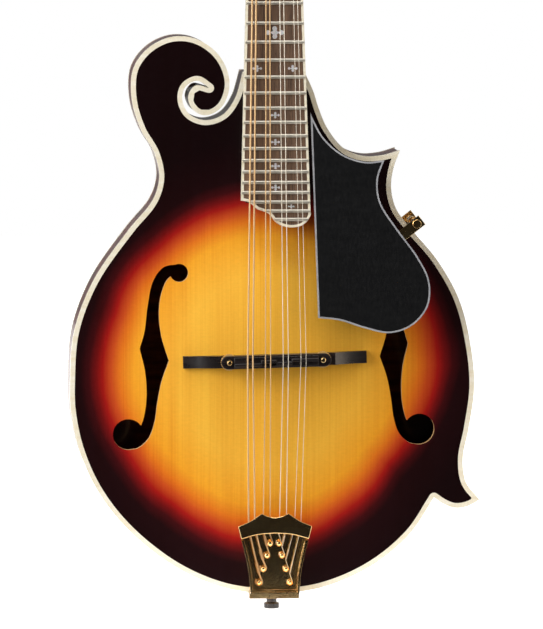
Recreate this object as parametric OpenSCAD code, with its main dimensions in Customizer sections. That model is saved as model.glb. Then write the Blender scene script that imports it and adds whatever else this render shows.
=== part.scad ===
// F-style mandolin: carved body with a scroll and two points, elevated fingerboard,
// adjustable bridge, stamped tailpiece and two four-gang machine heads.
// Bench frame: x to the treble side, y along the centreline to the head, z out of the top.
// The nut sits at y = 0 and the glue plane between neck and fingerboard passes through z = 0.

/* [Overall] */
// Vibrating string length, nut to saddle
scale_length = 352.4; // [290:0.1:425]
// Width of the lower bout
body_w = 251; // [205:1:305]
// Body length from the tail to the top of the scroll
body_l = 346; // [290:1:415]
// Depth of the body at its edge, with both plates
body_depth = 44; // [36:1:54]

/* [Plates] */
// Height of the carved arch of the top
top_arch = 14; // [10:0.5:17]
// Height of the carved arch of the back
back_arch = 12; // [9:0.5:16]
// Thickness of both plates at their edges
plate_edge = 5; // [4:0.5:7]
// Thickness of both plates at the crown
plate_crown = 4.5; // [3.5:0.5:6]
// Width of the body binding seen from the front
binding_w = 3; // [1.5:0.1:3.6]
// Thickness of the bent sides
rim_t = 2.2; // [1.6:0.1:3]
// Radius of the lower eye of a sound hole
eye_r = 9.6; // [7:0.1:11]

/* [Neck] */
// Angle of the neck to the body plane
neck_angle = 5; // [4:0.25:6]
// Angle of the head to the neck
head_angle = 14; // [8:1:17]
// Width of the fingerboard at the nut
nut_w = 28; // [26:0.5:33]
// Width of the fingerboard at its last full fret
board_w = 42.8; // [35:0.2:52]
// Thickness of the fingerboard
board_t = 5; // [4:0.5:6.5]
// Width of the fingerboard binding
board_binding = 1.5; // [1:0.1:2.5]
// Number of frets
fret_count = 24; // [20:1:24]
// Depth of the neck at the nut
neck_t = 14; // [12:0.5:17]
// Thickness of the head without its overlay
head_t = 14; // [12:0.5:17]
// Thickness of the head overlay
overlay_t = 1.5; // [1:0.25:2.5]
// Diameter of the truss rod
rod_d = 5; // [4:0.5:6]

/* [Bridge] */
// Height from the crown of the top to the strings
bridge_h = 17.2; // [14:0.2:22]
// Length of the bridge foot
foot_l = 114; // [95:1:130]
// Width of the bridge foot
foot_w = 7.5; // [6.5:0.5:11]
// Length of the saddle
saddle_l = 68; // [66:1:76]
// Distance between the two adjusting posts
post_span = 58; // [54:1:59]
// Radius of an adjusting post
stud_r = 1.5; // [1.2:0.1:1.7]
// Radius of a thumb wheel
wheel_r = 5.2; // [4.3:0.1:6.5]
// Thickness of a thumb wheel
wheel_t = 2.2; // [1.5:0.1:2.8]
// Travel of the saddle below its playing height
saddle_drop = 1.4; // [0.8:0.1:1.8]

/* [Tuners] */
// Distance between two posts of a row
tuner_pitch = 23; // [22:0.5:24.5]
// Distance of a row of posts from the centreline
row_x = 19; // [18:0.5:21]
// Radius of a string post
post_r = 3; // [2.5:0.1:3.6]
// Teeth on a gear wheel
gear_teeth = 16; // [14:1:17]
// Module of the gear teeth
gear_module = 0.6; // [0.5:0.02:0.62]
// Height of the button
button_h = 13; // [10:0.5:15]

/* [Strings] */
// Distance between the outer strings at the saddle
string_span = 36.2; // [33:0.2:38]
// Distance between the outer strings at the nut
nut_span = 23.4; // [21:0.2:25]
// Diameters of the four courses, low to high
string_d = [1.02, 0.66, 0.41, 0.28];

/* [Fits] */
// Clearance of a turning shaft in its bore
running = 0.06; // [0.02:0.01:0.1]
// Clearance between glued or laid pieces
gap = 0.05; // [0.02:0.01:0.2]
// Gap between a string and the saddle or nut
string_gap = 0.15; // [0.05:0.05:0.3]

/* [Hidden] */
$fn = 32;
TUNERS = [0, 1, 2, 3, 4, 5, 6, 7];

// ---------- curves ----------

// Weighted mean of two points along a knot span.
function between(a, b, ta, tb, t) = (a * (tb - t) + b * (t - ta)) / (tb - ta);

// One point of a centripetal curve from p1 to p2, where u runs from 0 to 1.
function curve_point(p0, p1, p2, p3, u) =
    let (t1 = sqrt(norm(p1 - p0)), t2 = t1 + sqrt(norm(p2 - p1)), t3 = t2 + sqrt(norm(p3 - p2)),
         t = t1 + u * (t2 - t1),
         a = between(p0, p1, 0, t1, t), b = between(p1, p2, t1, t2, t),
         c = between(p2, p3, t2, t3, t),
         d = between(a, b, 0, t2, t), e = between(b, c, t1, t3, t))
    between(d, e, t1, t2, t);

// A smooth curve through the points, without its last point, so that curves can be chained.
function smooth(p, steps = 3) =
    let (n = len(p),
         q = concat([2 * p[0] - p[1]], p, [2 * p[n - 1] - p[n - 2]]))
    [for (i = [0 : n - 2], k = [0 : steps - 1])
        curve_point(q[i], q[i + 1], q[i + 2], q[i + 3], k / steps)];

function mirrored(p) = [for (i = [len(p) - 1 : -1 : 0]) [-p[i].x, p[i].y]];
function scaled(p, kx, ky) = [for (q = p) [q.x * kx, q.y * ky]];

// ---------- body plan, measured from the middle of the bridge ----------
nominal_w = 251;
nominal_l = 346;
kx = body_w / nominal_w;
ky = body_l / nominal_l;
cutaway = [[19, 178], [24.5, 166], [28, 155], [33.5, 142.5], [44, 130], [56, 125.5], [68, 126],
           [78.5, 129]];
treble_side = [[78.5, 129], [74.5, 118], [73, 106], [76, 93], [85.5, 80], [101.5, 61], [115.5, 36],
               [123, 6], [125, -19], [121.5, -45], [118, -63], [120, -78], [128.5, -89]];
lower_point = [[128.5, -89], [121, -93], [113, -94], [106, -91.5], [100, -87.5]];
bass_side = [[100, -87.5], [85, -110], [60, -130.5], [29, -143.5], [0, -146.5], [-29, -143.5],
             [-60, -130.5], [-90, -107], [-109, -83], [-120.5, -58], [-126, -33], [-126.5, -12],
             [-124, 17], [-112, 48.5], [-90, 80], [-75, 98.5], [-71, 112.5], [-74, 127.5],
             [-82.5, 142.5], [-88, 161], [-87, 180], [-78, 192.5], [-64, 199.5], [-50, 199],
             [-37, 191.5], [-29.5, 180.5], [-27.5, 168.5], [-32.5, 156], [-42.5, 151], [-50.5, 155],
             [-53, 163], [-48.5, 169.5], [-40, 168]];
scroll_slit = [[-40, 168], [-47.5, 172.5], [-55, 168.5], [-56.7, 160.5], [-52.5, 152],
               [-42.5, 148], [-31.5, 151.5], [-24, 161.5], [-19, 178]];
outline = scaled(concat(smooth(cutaway), smooth(treble_side), smooth(lower_point),
                        smooth(bass_side), smooth(scroll_slit), [[-19, 178]]), kx, ky);
joint_y = 178 * ky;
tail_y = -146.5 * ky;

// ---------- levels, in the bench frame ----------
string_rise = 8.5;
saddle_y = -scale_length * cos(neck_angle) + string_rise * sin(neck_angle);
saddle_z = scale_length * sin(neck_angle) + string_rise * cos(neck_angle);
crown_z = saddle_z - bridge_h;
top_z = crown_z - top_arch;
back_z = top_z - body_depth;
rim_h = body_depth - 2 * plate_edge;
pin_z = top_z - body_depth / 2;

// ---------- arching ----------
arch_w = 112 * kx;
arch_l = 131 * ky;
arch_y = -3 * ky;
arch_egg = 0.22;
arch_power = 1.3;
arch_rings = 7;
arch_sectors = 42;

// Share of the arch's height at a share s of the way from its middle to its edge.
function bell(s) = s >= 1 ? 0 : (1 + cos(180 * pow(s, arch_power))) / 2;
function arch_share(x, y) =
    let (v = (y - arch_y) / arch_l)
    sqrt(pow(x / (arch_w * (1 - arch_egg * v)), 2) + v * v);
function top_surface(x, y) = top_z + top_arch * bell(arch_share(x, y));
function arch_point(s, a) =
    [arch_w * s * cos(a) * (1 - arch_egg * s * sin(a)), arch_y + arch_l * s * sin(a)];

// A mound with an egg-shaped plan: it rises from z0 and stands on a skirt down to z1.
module mound(rise, z0, z1, reach = 1) {
    n = arch_sectors;
    ring = [for (i = [1 : arch_rings], j = [0 : n - 1])
        let (s = i / arch_rings, p = arch_point(s * reach, 360 * j / n))
        [p.x, p.y, z0 + rise * bell(s)]];
    skirt = [for (j = [0 : n - 1]) let (p = arch_point(reach, 360 * j / n)) [p.x, p.y, z1]];
    peak = [[0, arch_y, z0 + rise]];
    last = 1 + (arch_rings - 1) * n;
    polyhedron(
        concat(peak, ring, skirt),
        concat([for (j = [0 : n - 1]) [0, 1 + (j + 1) % n, 1 + j]],
               [for (i = [0 : arch_rings - 2], j = [0 : n - 1], h = [0, 1])
                   let (a = 1 + i * n + j, b = 1 + i * n + (j + 1) % n)
                   h == 0 ? [a, b, a + n] : [b, b + n, a + n]],
               [for (j = [0 : n - 1], h = [0, 1])
                   let (a = last + j, b = last + (j + 1) % n)
                   h == 0 ? [a, b, a + n] : [b, b + n, a + n]],
               [[for (j = [0 : n - 1]) last + n + j]]));
}

// One free-form shell, kept as a single closed surface.
module carved() { resize([0, 0, 0]) children(); }

module on_body() { translate([0, saddle_y, 0]) children(); }
module outline_2d(inset = 0) {
    if (inset == 0) polygon(outline);
    else offset(r = -inset, $fn = 16) polygon(outline);
}

// ---------- sound holes ----------
f_upper_eye = [-59, 53.5];
f_lower_eye = [-90.5, -47];
f_upper_r = 5.6;
f_outer_top = [[-59, 59], [-68.5, 57], [-75, 48.5], [-78.5, 33], [-80.5, 17], [-83.5, 6.5]];
f_outer_low = [[-83.5, 6.5], [-80, -9], [-79.5, -26.5], [-81.5, -38], [-84, -44]];
f_inner_low = [[-90.5, -56.5], [-84.5, -55.5], [-78, -49.5], [-74.5, -40], [-72.5, -26.5],
               [-70, -14], [-65.5, -1]];
f_inner_top = [[-65.5, -1], [-70, 14], [-71.5, 29.5], [-69.5, 42], [-65.5, 50], [-59, 53.5]];
f_treble_shift = 2.5;

module f_hole_2d() {
    translate(f_upper_eye) circle(f_upper_r);
    translate(f_lower_eye) circle(eye_r);
    polygon(concat(smooth(f_outer_top), smooth(f_outer_low, 3), [f_outer_low[4], f_lower_eye],
                   smooth(f_inner_low), smooth(f_inner_top), [f_upper_eye]));
}

module f_holes(z0, h) {
    translate([0, 0, z0]) linear_extrude(h) scale([kx, ky]) {
        f_hole_2d();
        translate([0, f_treble_shift]) mirror([1, 0]) f_hole_2d();
    }
}

// ---------- body ----------
under_reach = 0.93;
module plate_blank(z0, h) translate([0, 0, z0]) linear_extrude(h) outline_2d(binding_w + gap);

module soundboard() color([0.72, 0.4, 0.1]) on_body() carved() difference() {
    union() {
        plate_blank(top_z - plate_edge, plate_edge);
        intersection() {
            mound(top_arch, top_z, top_z - plate_edge / 2);
            plate_blank(top_z - plate_edge, plate_edge + top_arch);
        }
    }
    mound(top_arch + plate_edge - plate_crown, top_z - plate_edge, top_z - plate_edge - 2,
          under_reach);
    f_holes(top_z - plate_edge - 2, top_arch + plate_edge + 4);
}

module back_plate() color([0.35, 0.13, 0.07]) on_body() carved() difference() {
    union() {
        plate_blank(back_z, plate_edge);
        intersection() {
            mirror([0, 0, 1]) mound(back_arch, -back_z, -back_z - plate_edge / 2);
            plate_blank(back_z - back_arch, plate_edge + back_arch);
        }
    }
    mirror([0, 0, 1]) mound(back_arch + plate_edge - plate_crown, -back_z - plate_edge,
                            -back_z - plate_edge - 2, under_reach);
}

module edge_band(z0) on_body() translate([0, 0, z0]) linear_extrude(plate_edge) difference() {
    outline_2d();
    outline_2d(binding_w);
}
module top_binding() color([0.93, 0.89, 0.76]) edge_band(top_z - plate_edge);
module back_binding() color([0.93, 0.89, 0.76]) edge_band(back_z);

// Tongue of the neck that enters the head block.
tenon_w = 20;
tenon_l = 18;
tenon_drop = 5;
module tenon(clear = 0) {
    translate([-tenon_w / 2, joint_y - tenon_l, back_z + plate_edge + tenon_drop] - clear * [1, 1, 1])
        cube([tenon_w + 2 * clear, tenon_l + clear + 1, rim_h - tenon_drop + clear - gap]);
}

pin_shank_r = 3.4;
module pin_hole(r) translate([0, tail_y - 1, pin_z]) rotate([-90, 0, 0]) cylinder(r = r, h = 22);

module rim() color([0.3, 0.1, 0.06]) on_body() difference() {
    translate([0, 0, back_z + plate_edge]) linear_extrude(rim_h) difference() {
        outline_2d(gap);
        outline_2d(rim_t);
    }
    tenon(gap);
    pin_hole(pin_shank_r);
}

// Plan of the air space, which the blocks stay out of.
air_r = 124;
module air_2d() scale([kx, ky]) hull() {
    translate([-1, -20]) circle(air_r, $fn = 64);
    translate([0, 72]) circle(56, $fn = 64);
}
module block(x0, y0, x1, y1) {
    translate([0, 0, back_z + plate_edge]) linear_extrude(rim_h)
        offset(delta = -gap) difference() {
            intersection() {
                outline_2d(rim_t);
                scale([kx, ky]) translate([x0, y0]) square([x1 - x0, y1 - y0]);
            }
            air_2d();
        }
}

scroll_edge = -26;
module head_block() color([0.7, 0.55, 0.35]) on_body() difference() {
    block(scroll_edge, 112, 34, 179);
    tenon(gap);
}
module scroll_block() color([0.7, 0.55, 0.35]) on_body() block(-95, 118, scroll_edge, 205);
module point_blocks() color([0.7, 0.55, 0.35]) on_body() {
    block(60, 92, 82, 132);
    block(96, -96, 132, -62);
}
tail_block_w = 54;
tail_block_l = 16;
module tail_block() color([0.7, 0.55, 0.35]) on_body() difference() {
    translate([0, 0, back_z + plate_edge]) linear_extrude(rim_h) offset(delta = -gap)
        intersection() {
            outline_2d(rim_t);
            translate([-tail_block_w / 2, tail_y]) square([tail_block_w, tail_block_l]);
        }
    pin_hole(pin_shank_r);
}

// Bent strips that widen the glue line between rim and plates.
lining_w = 5;
lining_h = 8;
module lining_2d() intersection() {
    outline_2d(rim_t);
    air_2d();
}
module lining(z0) translate([0, 0, z0]) linear_extrude(lining_h) offset(delta = -gap)
    difference() {
        lining_2d();
        offset(delta = -lining_w) lining_2d();
        translate([-tail_block_w / 2, tail_y]) square([tail_block_w, tail_block_l]);
    }
module linings() color([0.7, 0.55, 0.35]) on_body() {
    lining(back_z + plate_edge);
    lining(top_z - plate_edge - lining_h);
}

bar_w = 6;
bar_l = 170;
bar_h = 9;
module tone_bars() color([0.85, 0.7, 0.45]) on_body() carved() intersection() {
    mound(top_arch + plate_edge - plate_crown - gap, top_z - plate_edge - gap,
          top_z - plate_edge - bar_h, under_reach);
    for (side = [-1, 1]) translate([side * 24 * kx, 0, top_z - plate_edge - gap])
        rotate(side * 5) translate([-bar_w / 2, -bar_l * ky / 2, 0])
            cube([bar_w, bar_l * ky, top_arch + plate_edge]);
}

// ---------- neck frame ----------
module on_neck() { rotate([-neck_angle, 0, 0]) children(); }
nut_l = 5;
module on_head() { on_neck() translate([0, nut_l, 0]) rotate([-head_angle, 0, 0]) children(); }

function fret_y(n) = -scale_length * (1 - pow(2, -n / 12));
last_full_fret = 22;
taper = (board_w - nut_w) / 2 / -fret_y(last_full_fret);
function half_board(y) = nut_w / 2 - taper * y;
end_y = fret_y(last_full_fret);
board_tip = 8;
board_end = [[-half_board(end_y), 1], [-17.5, 0.4], [-14, -1.8], [-11.3, -4.3], [-7, -5.8],
             [-4, -7.2], [-0.3, -12], [2.8, -14.1], [6.5, -15.4], [11, -15.7], [15, -15],
             [18, -13.3], [20.2, -11],
             [half_board(end_y - board_tip), -board_tip]];
board_outline = concat([[nut_w / 2, 0], [-nut_w / 2, 0]],
                       [for (p = smooth(board_end, 2)) [p.x, p.y + end_y]],
                       [[half_board(end_y - board_tip), end_y - board_tip]]);
module board_2d(inset = 0) {
    if (inset == 0) polygon(board_outline);
    else offset(delta = -inset) polygon(board_outline);
}

// Inlays: a four-leaved flower, sized for its place.
inlay_t = 0.6;
function mid_fret(n) = (fret_y(n) + fret_y(n - 1)) / 2;
inlay_places = concat(
    [for (n = [3, 15, 17, 19, 21]) [0, mid_fret(n), 2.8]],
    [[9.6, mid_fret(23), 2]],
    [for (n = [5, 10]) [0, mid_fret(n), 5.6]],
    [for (n = [7, 12], side = [-1, 1]) [side * 11, mid_fret(n), 3]]);
module flower_2d(r) {
    for (a = [0, 180]) rotate(a) {
        translate([r * 0.74, 0]) circle(r * 0.26);
        translate([0, r * 0.44]) circle(r * 0.26);
        translate([0, -r * 0.1]) square([r * 0.8, r * 0.2]);
    }
    rotate(45) square(r * 0.62, center = true);
}
module inlay_shapes(h, grow = 0) {
    for (p = inlay_places) translate([p.x, p.y, board_t - h]) linear_extrude(h + grow)
        flower_2d(p.z);
}

module fingerboard() color([0.2, 0.13, 0.1]) on_neck() difference() {
    linear_extrude(board_t) board_2d(board_binding + gap);
    inlay_shapes(inlay_t, 1);
}
module fingerboard_binding() color([0.93, 0.89, 0.76]) on_neck() linear_extrude(board_t)
    difference() {
        board_2d();
        board_2d(board_binding);
    }
module inlays() color([0.85, 0.85, 0.88]) on_neck() inlay_shapes(inlay_t - gap);

fret_h = 1;
fret_r = 1.1;
module frets() color([0.8, 0.78, 0.72]) on_neck() intersection() {
    translate([0, 0, board_t + gap]) linear_extrude(fret_h) board_2d(0.3);
    for (n = [1 : fret_count]) translate([-board_w, fret_y(n), board_t + fret_h - fret_r])
        rotate([0, 90, 0]) cylinder(r = fret_r, h = 2 * board_w);
}

// ---------- string layout ----------
course_pair = 3.2;
nut_pair = 2;
function string_x(i, span, pair) =
    let (c = floor(i / 2), step = (span - pair) / 3)
    -(span - pair) / 2 + c * step + (i % 2 == 0 ? -pair / 2 : pair / 2);
function string_r(i) = string_d[floor(i / 2)] / 2;
nut_top = board_t + fret_h + 0.7;
function tilt(p, a) = [p.x, p.y * cos(a) + p.z * sin(a), -p.y * sin(a) + p.z * cos(a)];
function neck_to_bench(p) = tilt(p, neck_angle);
function head_to_bench(p) = neck_to_bench(tilt(p, head_angle) + [0, nut_l, 0]);

module nut() color([0.95, 0.92, 0.84]) on_neck() difference() {
    translate([-nut_w / 2, gap, 0]) cube([nut_w, nut_l - gap, nut_top]);
    for (i = TUNERS) translate([string_x(i, nut_span, nut_pair), 0, nut_top + string_r(i)])
        rotate([90, 0, 0]) cylinder(r = string_r(i) + string_gap, h = 3 * nut_l, center = true);
}

// ---------- neck ----------
ext_t = 6.2;
ext_inset = 3;
heel_w = 26;
module neck_slice(y, depth, top_half, low_half) {
    translate([0, y, 0]) rotate([90, 0, 0]) linear_extrude(0.5) polygon(concat(
        [[top_half, 0], [-top_half, 0], [-top_half, -2]],
        [for (a = [-165 : 15 : -15])
            [(abs(a + 90) < 50 ? low_half : (top_half + low_half) / 2) * cos(a),
             -2 - (depth - 2) * -sin(a)]],
        [[top_half, -2]]));
}
joint_v = (saddle_y + joint_y) / cos(neck_angle);
heel_depth = joint_v * -sin(neck_angle) - back_z + 1;
head_low = [[14, -2], [15.5, 5], [20, 11], [29, 15], [34.5, 22], [35.5, 36], [36.5, 62], [38, 92],
            [39, 112], [44, 124]];
head_top = [[44, 124], [35, 128], [28, 136], [22, 148], [10, 156], [-6, 161], [-22, 162],
            [-36, 156], [-43, 144], [-41, 132], [-33, 127.5], [-27, 132], [-28, 139]];
head_curl = [[-28, 139], [-22.5, 131], [-28, 122.5], [-39, 118]];
head_bass = [[-39, 118], [-38.2, 100], [-36.5, 62], [-35.5, 36], [-34.5, 22], [-29, 15], [-20, 11],
             [-15.5, 5], [-14, -2]];
head_outline = concat(smooth(head_low), smooth(head_top), smooth(head_curl), smooth(head_bass),
                      [[-14, -2]]);
head_lip = 2;
module head_2d(inset = 0) {
    if (inset == 0) polygon(head_outline);
    else offset(delta = -inset) polygon(head_outline);
}

first_post = 36;
function post_x(i) = (i < 4 ? -1 : 1) * row_x;
function post_h(i) = first_post + (i < 4 ? i : 7 - i) * tuner_pitch;
bushing_r = 4;
module post_bores(r, z0, h) for (i = TUNERS)
    translate([post_x(i), post_h(i), z0]) cylinder(r = r, h = h);

rod_drop = 3;
rod_l = -joint_v - 14;
rod_end = nut_l + 9;
rod_nut_r = 3.8;
rod_nut_l = 6;
module neck_shaft() {
    stations = [[0, neck_t, half_board(0), nut_w / 2],
                [joint_v + 42, neck_t + 3, half_board(joint_v + 42), half_board(joint_v + 42)],
                [joint_v + 18, neck_t + 12, half_board(joint_v + 18), heel_w / 2 + 4],
                [joint_v - 2, heel_depth, half_board(joint_v), heel_w / 2]];
    for (k = [0 : len(stations) - 2]) hull() for (q = [stations[k], stations[k + 1]])
        neck_slice(q[0], q[1], q[2], q[3]);
}
module neck_extension() translate([0, 0, -ext_t]) linear_extrude(ext_t) intersection() {
    board_2d(ext_inset);
    translate([-board_w, end_y - 10]) square([2 * board_w, -end_y - 20]);
}
module neck_to_head() {
    hull() {
        on_neck() neck_slice(0, neck_t, nut_w / 2, nut_w / 2);
        on_head() translate([-nut_w / 2 + head_lip + 0.6, 0, -head_t + 0.6])
            cube([nut_w - 2 * head_lip - 1.2, 3, head_t - 1.2]);
    }
    on_neck() translate([-nut_w / 2, -1, -neck_t / 2]) cube([nut_w, nut_l + 1, neck_t / 2]);
}
// The body takes the place of the heel behind the joint.
module behind_joint() difference() {
    translate([-body_w, joint_y - body_l, back_z - 20])
        cube([2 * body_w, body_l, top_z - back_z + 20.3]);
    tenon();
}
module below_back() translate([-body_w, joint_y - 1, back_z - 30]) cube([2 * body_w, 80, 30]);
module neck() color([0.3, 0.1, 0.06]) difference() {
    carved() difference() {
        union() {
            on_neck() neck_shaft();
            on_neck() neck_extension();
            neck_to_head();
            on_head() translate([0, 0, -head_t]) linear_extrude(head_t) head_2d(head_lip + gap);
            on_body() tenon();
        }
        on_body() behind_joint();
        on_body() below_back();
        on_head() rod_pocket();
        on_neck() rod_cut(gap);
    }
    on_head() post_bores(post_r + 0.6, -head_t - 5, head_t + 10);
    on_head() post_bores(bushing_r, -6, 10);
}

// Channel under the fingerboard, and the adjusting pocket in the head.
module rod_cut(clear) translate([-rod_d / 2 - clear, -rod_l - clear, -rod_d - rod_drop - clear])
    cube([rod_d + 2 * clear, rod_l + rod_end + clear, rod_d + rod_drop + 2 * clear + 1]);
pocket_w = 9;
pocket_l = 20;
pocket_d = 10;
module rod_pocket() translate([-pocket_w / 2, -1, -pocket_d])
    cube([pocket_w, pocket_l, pocket_d + 5]);
module truss_rod() color([0.6, 0.6, 0.62]) on_neck() {
    translate([0, rod_end, -rod_d / 2 - rod_drop]) rotate([90, 0, 0]) {
        cylinder(d = rod_d, h = rod_l + rod_end);
        cylinder(r = rod_nut_r, h = rod_nut_l, $fn = 6);
    }
}

module overlay_cut() on_head() post_bores(bushing_r, -1, 10);
module head_overlay() color([0.06, 0.06, 0.06]) difference() {
    on_head() translate([0, 0, gap]) linear_extrude(overlay_t - gap) difference() {
        head_2d(head_lip + gap);
        translate([-50, -10]) square([100, 10 + gap]);
        translate([-pocket_w / 2, -1]) square([pocket_w, pocket_l]);
    }
    overlay_cut();
}
head_binding_from = 1.2;
module head_binding() color([0.93, 0.89, 0.76]) on_head() translate([0, 0, -3])
    linear_extrude(overlay_t + 3) difference() {
        head_2d();
        head_2d(head_lip);
        translate([-50, -30]) square([100, 30 + head_binding_from]);
    }
cover_pts = [[0, 2], [9, 2.5], [9.5, 8], [6, 16], [5.5, 24], [0, 29]];
module truss_rod_cover() color([0.05, 0.05, 0.05]) on_head() {
    translate([0, 0, overlay_t + gap]) linear_extrude(1.6)
        polygon(concat(smooth(cover_pts), mirrored(cover_pts)));
    for (h = [5, 21]) translate([0, h, overlay_t + gap + 1.6]) cylinder(r = 1.7, h = 0.7);
}

// ---------- bridge ----------
bridge_roll = 1.5;
saddle_h = 7.9;
saddle_bottom = saddle_z - saddle_h;
wheel_z = saddle_bottom - gap - wheel_t;
foot_top = wheel_z - saddle_drop - gap;
module on_bridge() { on_body() rotate(bridge_roll) children(); }

foot_fit = 0.2;
stud_floor = 2.4275;
stud_base = foot_top - top_surface(post_span / 2, 0) - foot_fit - stud_floor;
module bridge_foot() color([0.12, 0.1, 0.1]) on_bridge() difference() {
    rotate([90, 0, 0]) linear_extrude(foot_w, center = true) polygon(concat(
        [for (k = [-12 : 12]) let (x = foot_l * k / 24) [x, top_surface(x, 0) + foot_fit]],
        [[foot_l / 2, top_surface(foot_l / 2, 0) + 3.6],
         [foot_l / 2 - 10, top_surface(foot_l / 2 - 10, 0) + 3.6],
         [saddle_l / 2 + 3, foot_top], [-saddle_l / 2 - 3, foot_top],
         [-foot_l / 2 + 10, top_surface(foot_l / 2 - 10, 0) + 3.6],
         [-foot_l / 2, top_surface(foot_l / 2, 0) + 3.6]]));
    for (side = [-1, 1]) translate([side * post_span / 2, 0, foot_top - stud_base])
        cylinder(r = stud_r, h = stud_base + 1);
}
stud_h = 9;
module bridge_studs() color([0.85, 0.68, 0.35]) on_bridge()
    for (side = [-1, 1]) translate([side * post_span / 2, 0, foot_top - stud_base])
        cylinder(r = stud_r, h = stud_base + stud_h);

module thumb_wheel(side) color([0.85, 0.68, 0.35]) on_bridge()
    translate([side * post_span / 2, 0, wheel_z]) difference() {
        union() {
            cylinder(r = wheel_r - 0.25, h = wheel_t);
            for (a = [0 : 15 : 345]) rotate(a) translate([wheel_r - 0.5, -0.3, 0.15])
                cube([0.5, 0.6, wheel_t - 0.3]);
        }
        translate([0, 0, -1]) cylinder(r = stud_r + running, h = wheel_t + 2);
    }
module thumb_wheel_bass() thumb_wheel(-1);
module thumb_wheel_treble() thumb_wheel(1);

// Saddle: a bar with staggered crown steps, one for each course.
saddle_w = 6;
crown_w = 1.6;
saddle_top = saddle_z - string_gap;
crown_steps = [[-saddle_l / 2 + 8, -9.5, -1.6], [-9.5, 0, 0.2], [0, 9.5, -1.2],
               [9.5, saddle_l / 2 - 8, 0.6]];
notch_drop = string_gap + 0.2;
// Where the string i crosses the crown of the saddle.
function saddle_point(i) = let (x = string_x(i, string_span, course_pair))
    [x, x * tan(bridge_roll) + crown_steps[floor(i / 2)].z, saddle_z];
module bridge_saddle() color([0.12, 0.1, 0.1]) on_bridge() difference() {
    union() {
        hull() for (side = [-1, 1])
            translate([side * (saddle_l / 2 - saddle_w / 2 - 1), 0, saddle_bottom])
                cylinder(r = saddle_w / 2 + 1, h = 3.4);
        translate([-saddle_l / 2 + 8, -saddle_w / 2, saddle_bottom])
            cube([saddle_l - 16, saddle_w, 5]);
        for (s = crown_steps)
            translate([s.x, s.z - crown_w / 2, saddle_bottom + 4])
                cube([s.y - s.x, crown_w, saddle_top - saddle_bottom - 4 + 0.5]);
    }
    for (side = [-1, 1]) translate([side * post_span / 2, 0, saddle_bottom - 1])
        cylinder(r = stud_r + 0.4, h = stud_h);
    rotate(-bridge_roll) for (i = TUNERS)
        translate(saddle_point(i) - [string_r(i) + string_gap, saddle_w, notch_drop])
            cube([2 * (string_r(i) + string_gap), 2 * saddle_w, saddle_h]);
}

// ---------- tailpiece, measured from the tail ----------
tail_plate_t = 1.5;
tail_plate_l = 42;
tail_plate_z = top_surface(0, tail_y + tail_plate_l) + 0.6;
cover_z = tail_plate_z + 9.5;
cover_t = 1.5;
tab_t = 3;
tab_w = 31;
plate_half = [[15.2, 0], [16, 12], [17.8, 22], [21, 35], [22.5, tail_plate_l]];
plate_side = concat(smooth(plate_half), [plate_half[4]]);
plate_2d = concat(plate_side, mirrored(plate_side));
cover_half = [[0, 48.3], [4.5, 49.2], [8.3, 51], [15.5, 46.2], [23, 43]];
cover_low = [[21, 35], [10.5, 37.8], [0, 38.6]];
hook_places = [[9.6, 8.5], [7.1, 17], [4.7, 25.5], [2.8, 33]];
flange_clear = 20.9;
rest_y = 41;
rest_w = 1.6;
rest_l = 42;
rest_gap = 0.5;
rest_z = cover_z - 3.5;
rest_x = [16.2, 12.3, 7.2, 2.9];
hook_r = 1.1;
hook_h = 4.5;
hook_z = tail_plate_z + tail_plate_t;

module on_tail() { on_body() translate([0, tail_y, 0]) children(); }
module tailpiece_base() color([0.85, 0.66, 0.35]) on_tail() difference() {
    union() {
        translate([0, 0, tail_plate_z]) linear_extrude(tail_plate_t) polygon(plate_2d);
        translate([0, 0, tail_plate_z]) linear_extrude(cover_z - tail_plate_z - gap) difference() {
            polygon(plate_2d);
            offset(delta = -1.4) polygon(plate_2d);
            translate([-flange_clear, 34]) square([2 * flange_clear, 30]);
            translate([-30, -10]) square([60, 10.5]);
        }
        translate([-tab_w / 2, -tab_t - gap, pin_z - 9])
            cube([tab_w, tab_t, tail_plate_z + tail_plate_t - pin_z + 9]);
        translate([-tab_w / 2, -tab_t - gap, tail_plate_z])
            cube([tab_w, tab_t + 4, tail_plate_t]);
        translate([-tab_w / 2 + 1, 0.5, tail_plate_z]) cube([tab_w - 2, 2, 4]);
        translate([-rest_l / 2, rest_y - rest_w / 2, tail_plate_z])
            cube([rest_l, rest_w, rest_z - rest_gap - tail_plate_z]);
        for (side = [-1, 1], p = hook_places)
            translate([side * p.x, p.y, hook_z - 0.5]) rotate([20, 0, 0])
                cylinder(r = hook_r, h = hook_h);
    }
    translate([0, -tab_t - 1, pin_z]) rotate([-90, 0, 0])
        cylinder(r = pin_shank_r + gap, h = tab_t + 2);
}
cover_side = concat(smooth([cover_half[0], cover_half[1], cover_half[2]]),
                    smooth([cover_half[2], cover_half[3], cover_half[4]]),
                    [cover_half[4]], smooth(cover_low));
module tailpiece_cover() color([0.85, 0.66, 0.35]) on_tail() translate([0, 0, cover_z])
    linear_extrude(cover_t) polygon(concat(cover_side, [cover_low[2]], mirrored(cover_side)));

pin_collar_r = 5.6;
pin_head_r = 4.8;
pin_neck_r = 3.2;
pin_neck_l = 4;
pin_head_l = 3.5;
module end_pin() color([0.1, 0.1, 0.1]) on_tail() translate([0, 0, pin_z]) rotate([90, 0, 0]) {
    translate([0, 0, -18]) cylinder(r = pin_shank_r - gap, h = 18 + tab_t + 1);
    translate([0, 0, tab_t + 2 * gap]) {
        cylinder(r = pin_collar_r, h = 1.2);
        cylinder(r = pin_neck_r, h = 1.2 + pin_neck_l);
        translate([0, 0, 1.2 + pin_neck_l]) cylinder(r = pin_head_r, h = pin_head_l);
    }
}

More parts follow.
